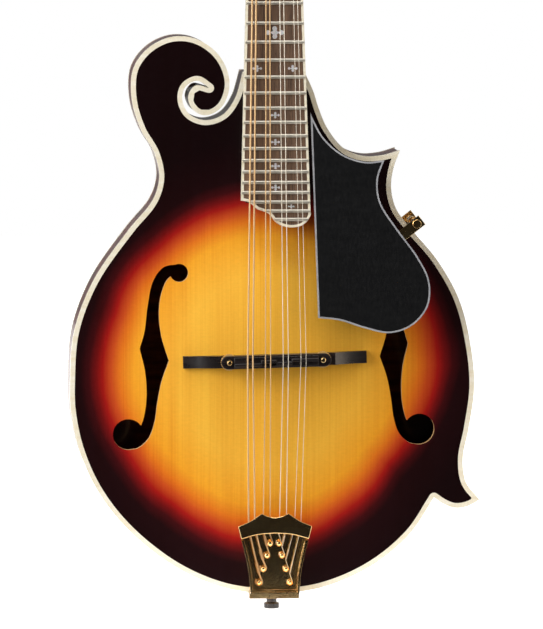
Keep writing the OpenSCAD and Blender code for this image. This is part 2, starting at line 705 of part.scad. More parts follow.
// ---------- pickguard ----------
guard_t = 2.4;
guard_line = 1;
guard_w = board_t - 3.2;
guard_inner = [[21.5, 152], [30, 136.5], [42, 126], [56, 121.5], [67.5, 122.5]];
guard_outer = [[67.5, 122.5], [63.5, 110.5], [65, 96.5], [76, 79], [88, 62.5], [95, 47.5], [94, 32],
               [84, 20], [70, 15.5], [55, 18.5], [39, 23.5], [26, 25]];
guard_pts = concat(smooth(guard_inner), smooth(guard_outer), [[26, 25]]);
// Points of the guard keep their place over the body and their distance from the board. Of the
// points that a wide board pushes aside, only the one next to a free point is kept.
guard_board_gap = 2.2;
function beside_board(p) = half_board(saddle_y + p.y * ky) + guard_board_gap;
function is_free(i) = let (p = guard_pts[i % len(guard_pts)]) p.x * kx > beside_board(p);
guard_outline = [for (i = [0 : len(guard_pts) - 1])
    if (is_free(i) || is_free(i + 1) || is_free(i + len(guard_pts) - 1))
        let (p = guard_pts[i]) [max(p.x * kx, beside_board(p)), saddle_y + p.y * ky]];
module guard_2d(inset) offset(delta = -inset) polygon(guard_outline);
module pickguard() color([0.05, 0.05, 0.06]) on_neck() translate([0, 0, guard_w])
    linear_extrude(guard_t) guard_2d(guard_line + gap);
module pickguard_binding() color([0.8, 0.8, 0.82]) on_neck() translate([0, 0, guard_w])
    linear_extrude(guard_t) difference() {
        guard_2d(0.001);
        guard_2d(guard_line);
    }

// Side clamp: an arm under the guard, a post beside the rim and a foot under the back's edge.
clamp_p = [84 * kx, 81 * ky];
clamp_turn = 38;
clamp_reach = 9;
clamp_w = 7;
function guard_under(p) = (saddle_y + p.y) * -tan(neck_angle) + guard_w / cos(neck_angle);
module pickguard_bracket() color([0.85, 0.68, 0.35]) on_body() translate(clamp_p) rotate(clamp_turn) {
    arm_z = guard_under(clamp_p) - 4.5;
    translate([-16, -clamp_w / 2, arm_z]) cube([16 + clamp_reach, clamp_w, 2]);
    translate([clamp_reach - 4, 0, back_z - 2]) cylinder(r = 1.6, h = arm_z - back_z + 4.5);
    translate([clamp_reach - 4, 0, back_z + body_depth / 2 - 6]) cylinder(r = 2.8, h = 12);
    translate([-1, -clamp_w / 2, back_z - 3.6]) cube([1 + clamp_reach, clamp_w, 1.8]);
    translate([clamp_reach - 4, 0, arm_z + 2]) cylinder(r = 2.6, h = 1.6);
}

// ---------- strings ----------
string_sides = 6;
wrap_turns = 2;
wrap_steps = 10;
wrap_z = overlay_t + 5;
loop_steps = 7;

// Corner points of a tube of radius r along a path of points.
function unit(v) = v / norm(v);
function path_dir(p, i) = unit(p[min(i + 1, len(p) - 1)] - p[max(i - 1, 0)]);
module tube(path, r) {
    n = len(path);
    m = string_sides;
    ring = [for (i = [0 : n - 1])
        let (d = path_dir(path, i), up = abs(d.z) > 0.8 ? [0, 1, 0] : [0, 0, 1],
             s = unit(cross(d, up)), t = cross(d, s))
        for (k = [0 : m - 1]) path[i] + r * (cos(360 * k / m) * s + sin(360 * k / m) * t)];
    polyhedron(ring, concat(
        [[for (k = [0 : m - 1]) k]],
        [for (i = [0 : n - 2], k = [0 : m - 1], h = [0, 1])
            let (a = i * m + k, b = i * m + (k + 1) % m)
            h == 0 ? [a, a + m, b] : [b, a + m, b + m]],
        [[for (k = [m - 1 : -1 : 0]) (n - 1) * m + k]]));
}

// The course i uses the hook row that is nearest its own side.
function hook_of(i) =
    let (k = i < 4 ? i : 7 - i) [(i < 4 ? -1 : 1) * hook_places[k].x, hook_places[k].y];
function string_path(i) =
    let (r = string_r(i), hk = hook_of(i), side = i < 4 ? -1 : 1,
         loop_r = hook_r + r + 0.35,
         zl = hook_z + 1.6 + r,
         o = [0, saddle_y, 0],
         loop_c = [hk.x, hk.y + tail_y - 0.8],
         guide = [side * rest_x[i < 4 ? i : 7 - i], tail_y + rest_y, rest_z + r],
         nut_p = neck_to_bench([string_x(i, nut_span, nut_pair), 0, nut_top + r]),
         nut_q = neck_to_bench([string_x(i, nut_span, nut_pair), nut_l + 0.3, nut_top + r]),
         wr = post_r + r + 0.3,
         px = post_x(i), ph = post_h(i))
    concat(
        [for (k = [1 : loop_steps]) let (a = 100 + 340 * k / (loop_steps + 1))
            o + [loop_c.x + loop_r * cos(a), loop_c.y + loop_r * sin(a), zl]],
        [o + [hk.x, hk.y + tail_y + 4.2, zl + 0.1],
         o + guide,
         o + saddle_point(i) + [0, 0, r],
         nut_p, nut_q],
        [for (k = [0 : wrap_steps * wrap_turns])
            let (a = (side < 0 ? -10 : 190) - side * 360 * k / wrap_steps)
            head_to_bench([px + wr * cos(a), ph + wr * sin(a),
                           wrap_z + 4 - (2 * r + 0.12) * k / wrap_steps])]);
module strings(from, to) for (i = [from : to]) tube(string_path(i), string_r(i));
module g_and_d_strings() color([0.75, 0.6, 0.4]) strings(0, 3);
module a_and_e_strings() color([0.85, 0.84, 0.8]) strings(4, 7);

// ---------- tuners ----------
plate_t = 1.2;
plate_w = 13;
plate_end = 11;
worm_r = 2.5;
worm_tip = 3;
worm_root = 1.75;
gear_r = gear_teeth * gear_module / 2;
gear_tip = gear_r + 0.5;
gear_root = gear_r - 0.7;
gear_t = 2.4;
shaft_off = gear_r + worm_r;
back = -head_t - gap;
shaft_w = back - plate_t - worm_tip - 0.4;
tooth_pitch = PI * gear_module;
shaft_r = 1.7;
lug_t = 1.5;
lug_x = 5.6;
button_x = 50;
shaft_end = button_x - row_x + 2;

module tuner_plates() color([0.85, 0.66, 0.35]) on_head() for (side = [-1, 1]) difference() {
    union() {
        hull() for (h = [first_post - plate_end, first_post + 3 * tuner_pitch + plate_end + 4])
            translate([side * row_x, h, back - plate_t]) cylinder(r = plate_w / 2, h = plate_t);
        for (i = TUNERS) if (post_x(i) * side > 0) for (k = [-1, 1])
            translate([post_x(i) + k * lug_x - lug_t / 2, post_h(i) + shaft_off - 2.6, shaft_w - 2.6])
                cube([lug_t, 5.2, back - plate_t - shaft_w + 2.7]);
    }
    for (i = TUNERS) if (post_x(i) * side > 0) {
        translate([post_x(i), post_h(i), back - 5]) cylinder(r = post_r + running, h = 10);
        translate([post_x(i) - 10, post_h(i) + shaft_off, shaft_w]) rotate([0, 90, 0])
            cylinder(r = shaft_r + running, h = 20);
    }
    for (h = [first_post - plate_end - 1, first_post + 3 * tuner_pitch + plate_end + 5])
        translate([side * row_x, h, back - 5]) cylinder(r = 1.3, h = 10);
}

module post_bushings() color([0.85, 0.66, 0.35]) on_head() for (i = TUNERS)
    translate([post_x(i), post_h(i), 0]) difference() {
        union() {
            translate([0, 0, -6 + gap]) cylinder(r = bushing_r - gap, h = 6 + overlay_t + 0.5);
            translate([0, 0, overlay_t + gap]) cylinder(r = bushing_r + 1, h = 0.8);
        }
        translate([0, 0, -8]) cylinder(r = post_r + running, h = 20);
    }

// Gear wheel: straight teeth with wide gaps, so that the worm's lead clears them.
tooth_flanks = [[-0.27, gear_root], [-0.09, gear_tip], [0.09, gear_tip], [0.27, gear_root]];
function gear_outline() = [for (k = [0 : gear_teeth - 1], c = tooth_flanks)
    let (a = 360 * (k + c.x) / gear_teeth) c.y * [cos(a), sin(a)]];
post_top = overlay_t + 12;
gear_low = shaft_w - gear_t / 2;
module tuner_post(i) color([0.85, 0.66, 0.35]) on_head() translate([post_x(i), post_h(i), 0])
    difference() {
        union() {
            translate([0, 0, gear_low]) cylinder(r = post_r, h = post_top - gear_low);
            translate([0, 0, gear_low]) linear_extrude(gear_t) rotate(90) polygon(gear_outline());
            translate([0, 0, gear_low - 0.9]) cylinder(r = 2.2, h = 1);
        }
        translate([0, 0, post_top - 2.2]) rotate([0, 90, 0])
            cylinder(r = 0.8, h = 20, center = true);
    }

// Worm: one thread wound round the shaft, with a gap that faces the gear's middle.
worm_turns = 2.8;
worm_steps = 10;
module worm_thread() {
    n = worm_steps * worm_turns;
    profile = [[-0.5, worm_root - 0.3], [-0.2, worm_tip], [0.2, worm_tip], [0.5, worm_root - 0.3]];
    points = [for (i = [0 : n], q = profile)
        let (turn = (i - n / 2) / worm_steps, a = 360 * turn, x = tooth_pitch * turn + q.x)
        [x, q.y * cos(a), q.y * sin(a)]];
    polyhedron(points, concat(
        [[3, 2, 1, 0]],
        [for (i = [0 : n - 1], k = [0 : 3], h = [0, 1])
            let (a = 4 * i + k, b = 4 * i + (k + 1) % 4)
            h == 0 ? [a, b, a + 4] : [b, b + 4, a + 4]],
        [[4 * n, 4 * n + 1, 4 * n + 2, 4 * n + 3]]));
}
module tuner_shaft(i) color([0.85, 0.66, 0.35]) on_head()
    translate([post_x(i), post_h(i) + shaft_off, shaft_w]) mirror([i < 4 ? 1 : 0, 0, 0]) {
        carved() {
            worm_thread();
            rotate([0, 90, 0])
                cylinder(r = worm_root, h = 2 * lug_x - lug_t - 0.6, center = true, $fn = 24);
        }
        translate([lug_x - lug_t / 2 - 0.3, 0, 0]) rotate([0, 90, 0])
            cylinder(r = shaft_r, h = shaft_end - lug_x);
        translate([-lug_x - lug_t / 2 - 0.6, 0, 0]) rotate([0, 90, 0])
            cylinder(r = shaft_r, h = lug_t + 0.9);
    }
module tuner_button(i) color([0.93, 0.9, 0.82]) on_head()
    translate([(i < 4 ? -1 : 1) * button_x, post_h(i) + shaft_off, shaft_w]) difference() {
        hull() for (k = [-1, 1]) translate([0, k * (button_h / 2 - 4), 0])
            scale([1, 1, 0.8]) sphere(r = 4.6, $fn = 16);
        rotate([0, i < 4 ? 90 : -90, 0]) translate([0, 0, -1])
            cylinder(r = shaft_r + gap, h = 20);
    }

// ---------- placement ----------
// The instrument hangs upright: the front faces -y and the head points up.
module upright() { rotate([90, 0, 0]) children(); }
module show(name) { upright() children(); }
show("soundboard") soundboard();
show("back_plate") back_plate();
show("rim") rim();
show("top_binding") top_binding();
show("back_binding") back_binding();
show("linings") linings();
show("tone_bars") tone_bars();
show("head_block") head_block();
show("scroll_block") scroll_block();
show("point_blocks") point_blocks();
show("tail_block") tail_block();
show("neck") neck();
show("truss_rod") truss_rod();
show("truss_rod_cover") truss_rod_cover();
show("head_overlay") head_overlay();
show("head_binding") head_binding();
show("fingerboard") fingerboard();
show("fingerboard_binding") fingerboard_binding();
show("frets") frets();
show("inlays") inlays();
show("nut") nut();
show("bridge_foot") bridge_foot();
show("bridge_studs") bridge_studs();
show("thumb_wheel_bass") thumb_wheel_bass();
show("thumb_wheel_treble") thumb_wheel_treble();
show("bridge_saddle") bridge_saddle();
show("tailpiece_base") tailpiece_base();
show("tailpiece_cover") tailpiece_cover();
show("end_pin") end_pin();
show("pickguard") pickguard();
show("pickguard_binding") pickguard_binding();
show("pickguard_bracket") pickguard_bracket();
show("g_and_d_strings") g_and_d_strings();
show("a_and_e_strings") a_and_e_strings();
show("tuner_plates") tuner_plates();
show("post_bushings") post_bushings();
for (i = TUNERS) {
    show(str("tuner_post_", i + 1)) tuner_post(i);
    show(str("tuner_shaft_", i + 1)) tuner_shaft(i);
    show(str("tuner_button_", i + 1)) tuner_button(i);
}
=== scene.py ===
"""Visual model of an F-style mandolin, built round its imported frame.

Lengths inside the classes are millimetres on the maker's bench: x to the treble side, y along
the centreline to the head, z out of the top, with the nut at y = 0. Each mesh is carried to the
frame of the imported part, in metres, when its piece is mounted.
"""

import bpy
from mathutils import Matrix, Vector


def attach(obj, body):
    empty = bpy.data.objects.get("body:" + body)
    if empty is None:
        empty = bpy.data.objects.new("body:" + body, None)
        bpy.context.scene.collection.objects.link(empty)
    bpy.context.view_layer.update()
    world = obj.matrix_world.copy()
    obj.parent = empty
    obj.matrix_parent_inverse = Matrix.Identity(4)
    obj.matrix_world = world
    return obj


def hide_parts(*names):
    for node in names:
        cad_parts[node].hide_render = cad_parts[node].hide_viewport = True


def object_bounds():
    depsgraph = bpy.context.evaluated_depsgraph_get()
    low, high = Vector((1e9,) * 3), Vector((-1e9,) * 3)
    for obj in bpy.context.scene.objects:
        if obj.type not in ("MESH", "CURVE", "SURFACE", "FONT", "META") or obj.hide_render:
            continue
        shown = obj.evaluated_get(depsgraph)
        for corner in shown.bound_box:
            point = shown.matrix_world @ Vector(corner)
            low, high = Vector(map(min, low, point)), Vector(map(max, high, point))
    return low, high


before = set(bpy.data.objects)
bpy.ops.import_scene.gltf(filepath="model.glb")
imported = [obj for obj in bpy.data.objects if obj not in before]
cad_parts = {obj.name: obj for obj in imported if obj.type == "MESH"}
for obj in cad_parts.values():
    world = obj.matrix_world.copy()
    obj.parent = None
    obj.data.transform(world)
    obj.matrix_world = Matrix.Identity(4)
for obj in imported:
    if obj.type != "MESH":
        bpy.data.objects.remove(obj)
CAD_BOX = [list(corner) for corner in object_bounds()]

import logging
import math
from dataclasses import dataclass, field
from enum import Enum
from typing import Callable, Sequence, Union

import bmesh
import bpy
import numpy as np
from mathutils import Matrix, Vector
from mathutils.geometry import delaunay_2d_cdt

LOG = logging.getLogger("mandolin")
MM = 0.001
CHUNK = 2000        # points that are compared with a loop at a time
STAGGER = 0.866     # row spacing of a triangular grid, as a share of its pitch
CLEARANCE = 0.45    # room that a grid keeps from an edge, as a share of its pitch
Height = Union[float, Callable[[np.ndarray], np.ndarray]]
Colour = tuple[float, float, float]


# ---------------------------------------------------------------------------------------------
# Curves and closed loops
# ---------------------------------------------------------------------------------------------

def smooth(points: Sequence[Sequence[float]], steps: int = 8) -> list[list[float]]:
    """Runs a centripetal curve through points and leaves out its last point.

    Args:
        points: Knots of the curve, in two or three dimensions.
        steps: Pieces per span.

    Returns:
        The points of the curve, ready to be chained with another one.
    """
    knots = np.array(points, float)
    knots = np.vstack([2 * knots[0] - knots[1], knots, 2 * knots[-1] - knots[-2]])
    out = []
    for a, b, c, d in zip(knots, knots[1:], knots[2:], knots[3:]):
        t1 = math.sqrt(np.linalg.norm(b - a))
        t2 = t1 + math.sqrt(np.linalg.norm(c - b))
        t3 = t2 + math.sqrt(np.linalg.norm(d - c))
        for k in range(steps):
            t = t1 + (t2 - t1) * k / steps
            ab = (a * (t1 - t) + b * t) / t1
            bc = (b * (t2 - t) + c * (t - t1)) / (t2 - t1)
            cd = (c * (t3 - t) + d * (t - t2)) / (t3 - t2)
            abc = (ab * (t2 - t) + bc * t) / t2
            bcd = (bc * (t3 - t) + cd * (t - t1)) / (t3 - t1)
            out.append(list((abc * (t2 - t) + bcd * (t - t1)) / (t2 - t1)))
    return out


@dataclass
class Loop:
    """A closed outline in a plane, kept counter-clockwise."""

    points: np.ndarray

    def __post_init__(self) -> None:
        """Drops doubled points and turns the loop counter-clockwise."""
        pts = np.array(self.points, float)[:, :2]
        keep = np.linalg.norm(pts - np.roll(pts, 1, axis=0), axis=1) > 1e-4
        pts = pts[keep]
        following = np.roll(pts, -1, axis=0)
        area = np.sum(pts[:, 0] * following[:, 1] - following[:, 0] * pts[:, 1])
        self.points = pts if area > 0 else pts[::-1].copy()

    @classmethod
    def circle(cls, centre: Sequence[float], radius: float, count: int = 48) -> "Loop":
        """Makes a round loop.

        Args:
            centre: Its middle.
            radius: Its radius.
            count: Number of its points.

        Returns:
            The loop.
        """
        turn = np.linspace(0, 2 * math.pi, count, endpoint=False)
        return cls(np.array(centre) + radius * np.column_stack([np.cos(turn), np.sin(turn)]))

    @classmethod
    def box(cls, half: float, low: float, high: float) -> "Loop":
        """Makes a rectangle across the centreline.

        Args:
            half: Half of its width.
            low: Its end towards the tail.
            high: Its end towards the head.

        Returns:
            The loop.
        """
        return cls(np.array([(-half, low), (half, low), (half, high), (-half, high)]))

    def moved(self, scale: Sequence[float] = (1, 1), shift: Sequence[float] = (0, 0)) -> "Loop":
        """Returns the loop scaled, then shifted."""
        return Loop(self.points * np.array(scale) + np.array(shift))

    def spaced(self, step: float) -> "Loop":
        """Divides the long edges.

        Args:
            step: Longest edge that stays.

        Returns:
            The loop with more points.
        """
        out = []
        for a, b in zip(self.points, np.roll(self.points, -1, axis=0)):
            pieces = max(1, math.ceil(np.linalg.norm(b - a) / step))
            out += [a + (b - a) * k / pieces for k in range(pieces)]
        return Loop(np.array(out))

    def distance(self, pts: np.ndarray) -> np.ndarray:
        """Measures how far points are from the loop.

        Args:
            pts: Plan points.

        Returns:
            Each point's distance.
        """
        a = self.points
        ab = np.roll(a, -1, axis=0) - a
        length = np.maximum((ab ** 2).sum(1), 1e-12)
        best = np.full(len(pts), np.inf)
        for first in range(0, len(pts), CHUNK):
            part = pts[first:first + CHUNK, None, :] - a[None]
            t = np.clip((part * ab[None]).sum(2) / length, 0, 1)
            gap = part - t[:, :, None] * ab[None]
            best[first:first + CHUNK] = np.sqrt((gap ** 2).sum(2).min(1))
        return best

    def contains(self, pts: np.ndarray) -> np.ndarray:
        """Finds the points that lie inside the loop.

        Args:
            pts: Plan points.

        Returns:
            A mask of them.
        """
        a, b = self.points, np.roll(self.points, -1, axis=0)
        rise = np.where(b[:, 1] == a[:, 1], 1e-9, b[:, 1] - a[:, 1])
        inside = np.zeros(len(pts), bool)
        for first in range(0, len(pts), CHUNK):
            p = pts[first:first + CHUNK, None, :]
            spans = (a[None, :, 1] > p[:, :, 1]) != (b[None, :, 1] > p[:, :, 1])
            cut = a[:, 0] + (p[:, :, 1] - a[:, 1]) * (b - a)[:, 0] / rise
            inside[first:first + CHUNK] = (spans & (p[:, :, 0] < cut)).sum(1) % 2 == 1
        return inside

    def inset(self, depth: float, step: float = 0.8) -> "Loop":
        """Moves the outline inwards, round reflex corners and sharp at the others.

        Args:
            depth: How far to move it.
            step: Spacing of the new points.

        Returns:
            The smaller loop.
        """
        a = self.points
        edge = np.roll(a, -1, axis=0) - a
        edge /= np.linalg.norm(edge, axis=1)[:, None]
        inward = np.column_stack([-edge[:, 1], edge[:, 0]])
        trail = []
        for i, corner in enumerate(a):
            before, after = inward[i - 1], inward[i]
            turn = edge[i - 1][0] * edge[i][1] - edge[i - 1][1] * edge[i][0]
            sweep = math.atan2(before[0] * after[1] - before[1] * after[0], before @ after)
            if turn < 0 and sweep < 0:
                pieces = max(1, math.ceil(-sweep * depth / step))
                base = math.atan2(before[1], before[0])
                for k in range(pieces + 1):
                    angle = base + sweep * k / pieces
                    trail.append(corner + depth * np.array([math.cos(angle), math.sin(angle)]))
            else:
                trail += [corner + depth * before, corner + depth * after]
            length = np.linalg.norm(a[(i + 1) % len(a)] - corner)
            pieces = max(1, math.ceil(length / step))
            trail += [corner + edge[i] * length * k / pieces + depth * after
                      for k in range(1, pieces)]
        trail = np.array(trail)
        good = self.contains(trail) & (self.distance(trail) > depth * 0.995)
        return Loop(_with_corners(trail, good, 4 * step))


def _with_corners(trail: np.ndarray, good: np.ndarray, reach: float) -> np.ndarray:
    """Links the good points of an offset trail and puts back its lost corners.

    Args:
        trail: Points of the raw offset, in order.
        good: Which of them are real.
        reach: How far a lost corner may be from its neighbours.

    Returns:
        The points of the cleaned trail.
    """
    kept = np.flatnonzero(good)
    out = []
    for here, after in zip(kept, np.roll(kept, -1)):
        out.append(trail[here])
        if (after - here) % len(trail) <= 1:
            continue
        p, q = trail[here], trail[after]
        u = p - trail[kept[(np.searchsorted(kept, here) - 1) % len(kept)]]
        v = q - trail[kept[(np.searchsorted(kept, after) + 1) % len(kept)]]
        cross = u[0] * v[1] - u[1] * v[0]
        if abs(cross) < 1e-9:
            continue
        t = ((q - p)[0] * v[1] - (q - p)[1] * v[0]) / cross
        meet = p + t * u
        if t > 0 and np.linalg.norm(meet - p) < reach and np.linalg.norm(meet - q) < reach:
            out.append(meet)
    return np.array(out)


# ---------------------------------------------------------------------------------------------
# Meshes
# ---------------------------------------------------------------------------------------------

@dataclass
class Shape:
    """Vertices and faces in millimetres, with a finish number and marks to shade by."""

    points: np.ndarray
    faces: list[tuple[int, ...]]
    finish: list[int] = field(default_factory=list)
    marks: dict[str, np.ndarray] = field(default_factory=dict)

    def joined(self, other: "Shape", finish: int = 0) -> "Shape":
        """Joins two shapes.

        Args:
            other: Shape to add.
            finish: Finish number of its faces, where it has none of its own.

        Returns:
            Both shapes as one.
        """
        base = len(self.points)
        faces = self.faces + [tuple(i + base for i in f) for f in other.faces]
        mine = self.finish or [0] * len(self.faces)
        theirs = other.finish or [finish] * len(other.faces)
        marks = {name: np.concatenate([values, np.zeros(len(other.points))])
                 for name, values in self.marks.items()}
        return Shape(np.vstack([self.points, other.points]), faces, mine + theirs, marks)

    def turned(self, matrix: Matrix) -> "Shape":
        """Returns the shape carried by a matrix."""
        m = np.array(matrix)
        points = self.points @ m[:3, :3].T + m[:3, 3]
        faces = self.faces if matrix.determinant() > 0 else [f[::-1] for f in self.faces]
        return Shape(points, faces, self.finish, self.marks)

    def mesh(self, name: str, place: Matrix) -> bpy.types.Mesh:
        """Makes a Blender mesh.

        Args:
            name: Name of the mesh.
            place: Where the shape's own frame is on the bench.

        Returns:
            The mesh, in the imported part's frame.
        """
        mesh = bpy.data.meshes.new(name)
        mesh.from_pydata([tuple(p) for p in self.points], [], self.faces)
        for mark, values in self.marks.items():
            layer = mesh.attributes.new(mark, "FLOAT", "POINT")
            layer.data.foreach_set("value", np.asarray(values, np.float32))
        if self.finish:
            mesh.polygons.foreach_set("material_index", self.finish)
        mesh.validate()
        mesh.transform(ROW @ place)
        return mesh


def slab(outer: Loop, holes: Sequence[Loop], low: Height, high: Height,
         grid: float = 0.0, wall_finish: int = 0, low_finish: int = 0) -> Shape:
    """Builds a plate with any outline, with holes and with free upper and lower surfaces.

    Args:
        outer: Outline.
        holes: Openings in it.
        low: Height of the lower surface, as a number or a function of the plan points.
        high: Height of the upper surface.
        grid: Spacing of the points inside the plate, or nothing where it is flat.
        wall_finish: Number of the walls' finish.
        low_finish: Number of the lower surface's finish.

    Returns:
        The closed shape.
    """
    loops = [outer, *holes]
    plan = [loop.points for loop in loops]
    edges, start = [], 0
    for loop in loops:
        count = len(loop.points)
        edges += [(start + i, start + (i + 1) % count) for i in range(count)]
        start += count
    if grid:
        plan.append(_filling(outer, holes, grid))
    flat = np.vstack(plan)
    verts, _, tris, _, _, _ = delaunay_2d_cdt([Vector(p) for p in flat], edges, [], 0, 1e-6)
    flat = np.array([tuple(v) for v in verts])
    tris = np.array(tris)
    middle = flat[tris].mean(1)
    inside = outer.contains(middle)
    for hole in holes:
        inside &= ~hole.contains(middle)
    tris = tris[inside]
    used = np.unique(tris)
    renumber = np.full(len(flat), -1)
    renumber[used] = np.arange(len(used))
    tris, flat = renumber[tris], flat[used]
    a, b, c = flat[tris[:, 0]], flat[tris[:, 1]], flat[tris[:, 2]]
    turned = (b - a)[:, 0] * (c - a)[:, 1] - (b - a)[:, 1] * (c - a)[:, 0] < 0
    tris[turned] = tris[turned][:, ::-1]
    count = len(flat)
    levels = [np.full(count, h) if isinstance(h, (int, float)) else h(flat) for h in (high, low)]
    points = np.vstack([np.column_stack([flat, level]) for level in levels])
    faces = [tuple(t) for t in tris.tolist()]
    finish = [0] * len(faces) + [low_finish] * len(faces)
    seen = {(t[i], t[(i + 1) % 3]) for t in faces for i in range(3)}
    faces += [(t[2] + count, t[1] + count, t[0] + count) for t in faces]
    walls = [(q, p, p + count, q + count) for p, q in seen if (q, p) not in seen]
    return Shape(points, faces + sorted(walls), finish + [wall_finish] * len(walls))


def _filling(outer: Loop, holes: Sequence[Loop], grid: float) -> np.ndarray:
    """Fills an outline with staggered points.

    Args:
        outer: Outline.
        holes: Openings in it.
        grid: Pitch of the points.

    Returns:
        The points that are clear of the edges and the openings.
    """
    (x0, y0), (x1, y1) = outer.points.min(0), outer.points.max(0)
    rows = np.arange(y0, y1, grid * STAGGER)
    pts = np.array([(x + (i % 2) * grid / 2, y)
                    for i, y in enumerate(rows) for x in np.arange(x0, x1, grid)])
    good = outer.contains(pts)
    for loop in [outer, *holes]:
        pts = pts[good]
        good = loop.distance(pts) > grid * CLEARANCE
        if loop is not outer:
            good &= ~loop.contains(pts)
    return pts[good]


def tube(path: np.ndarray, radius: Union[float, np.ndarray], sides: int = 10) -> Shape:
    """Sweeps a circle along a path without twisting it.

    Args:
        path: Points of the centre line.
        radius: Radius, or one for each point.
        sides: Corners of the circle.

    Returns:
        The closed tube.
    """
    path = np.asarray(path, float)
    count = len(path)
    radii = np.broadcast_to(np.asarray(radius, float), (count,))
    ahead = np.gradient(path, axis=0)
    ahead /= np.linalg.norm(ahead, axis=1)[:, None]
    side = np.cross(ahead[0], [0.3, 0.2, 1.0])
    turn = 2 * math.pi * np.arange(sides) / sides
    rings = []
    for i in range(count):
        side = side - ahead[i] * (side @ ahead[i])
        side /= np.linalg.norm(side)
        up = np.cross(ahead[i], side)
        rings.append(path[i] + radii[i] * (np.outer(np.cos(turn), side)
                                           + np.outer(np.sin(turn), up)))
    return skin(rings)


def lathe(profile: Sequence[tuple[float, float]], sides: int = 24) -> Shape:
    """Turns a profile about the z axis.

    Args:
        profile: Pairs of radius and height.
        sides: Corners of each ring.

    Returns:
        The shape, closed at both ends.
    """
    turn = 2 * math.pi * np.arange(sides) / sides
    circle = np.column_stack([np.cos(turn), np.sin(turn), np.zeros(sides)])
    return skin([r * circle + [0, 0, z] for r, z in profile])


def skin(rings: Sequence[np.ndarray]) -> Shape:
    """Joins rings into a closed body.

    Args:
        rings: Cross-sections in order, each with the same number of points.

    Returns:
        The body, with a flat face at each end.
    """
    sides = len(rings[0])
    faces = [(i * sides + k, i * sides + (k + 1) % sides,
              (i + 1) * sides + (k + 1) % sides, (i + 1) * sides + k)
             for i in range(len(rings) - 1) for k in range(sides)]
    last = (len(rings) - 1) * sides
    faces += [tuple(range(sides))[::-1], tuple(last + k for k in range(sides))]
    return Shape(np.vstack(rings), faces)


def baked(obj: bpy.types.Object) -> None:
    """Puts an object's modifiers into its mesh and takes them off."""
    graph = bpy.context.evaluated_depsgraph_get()
    done = bpy.data.meshes.new_from_object(obj.evaluated_get(graph))
    obj.modifiers.clear()
    obj.data = done


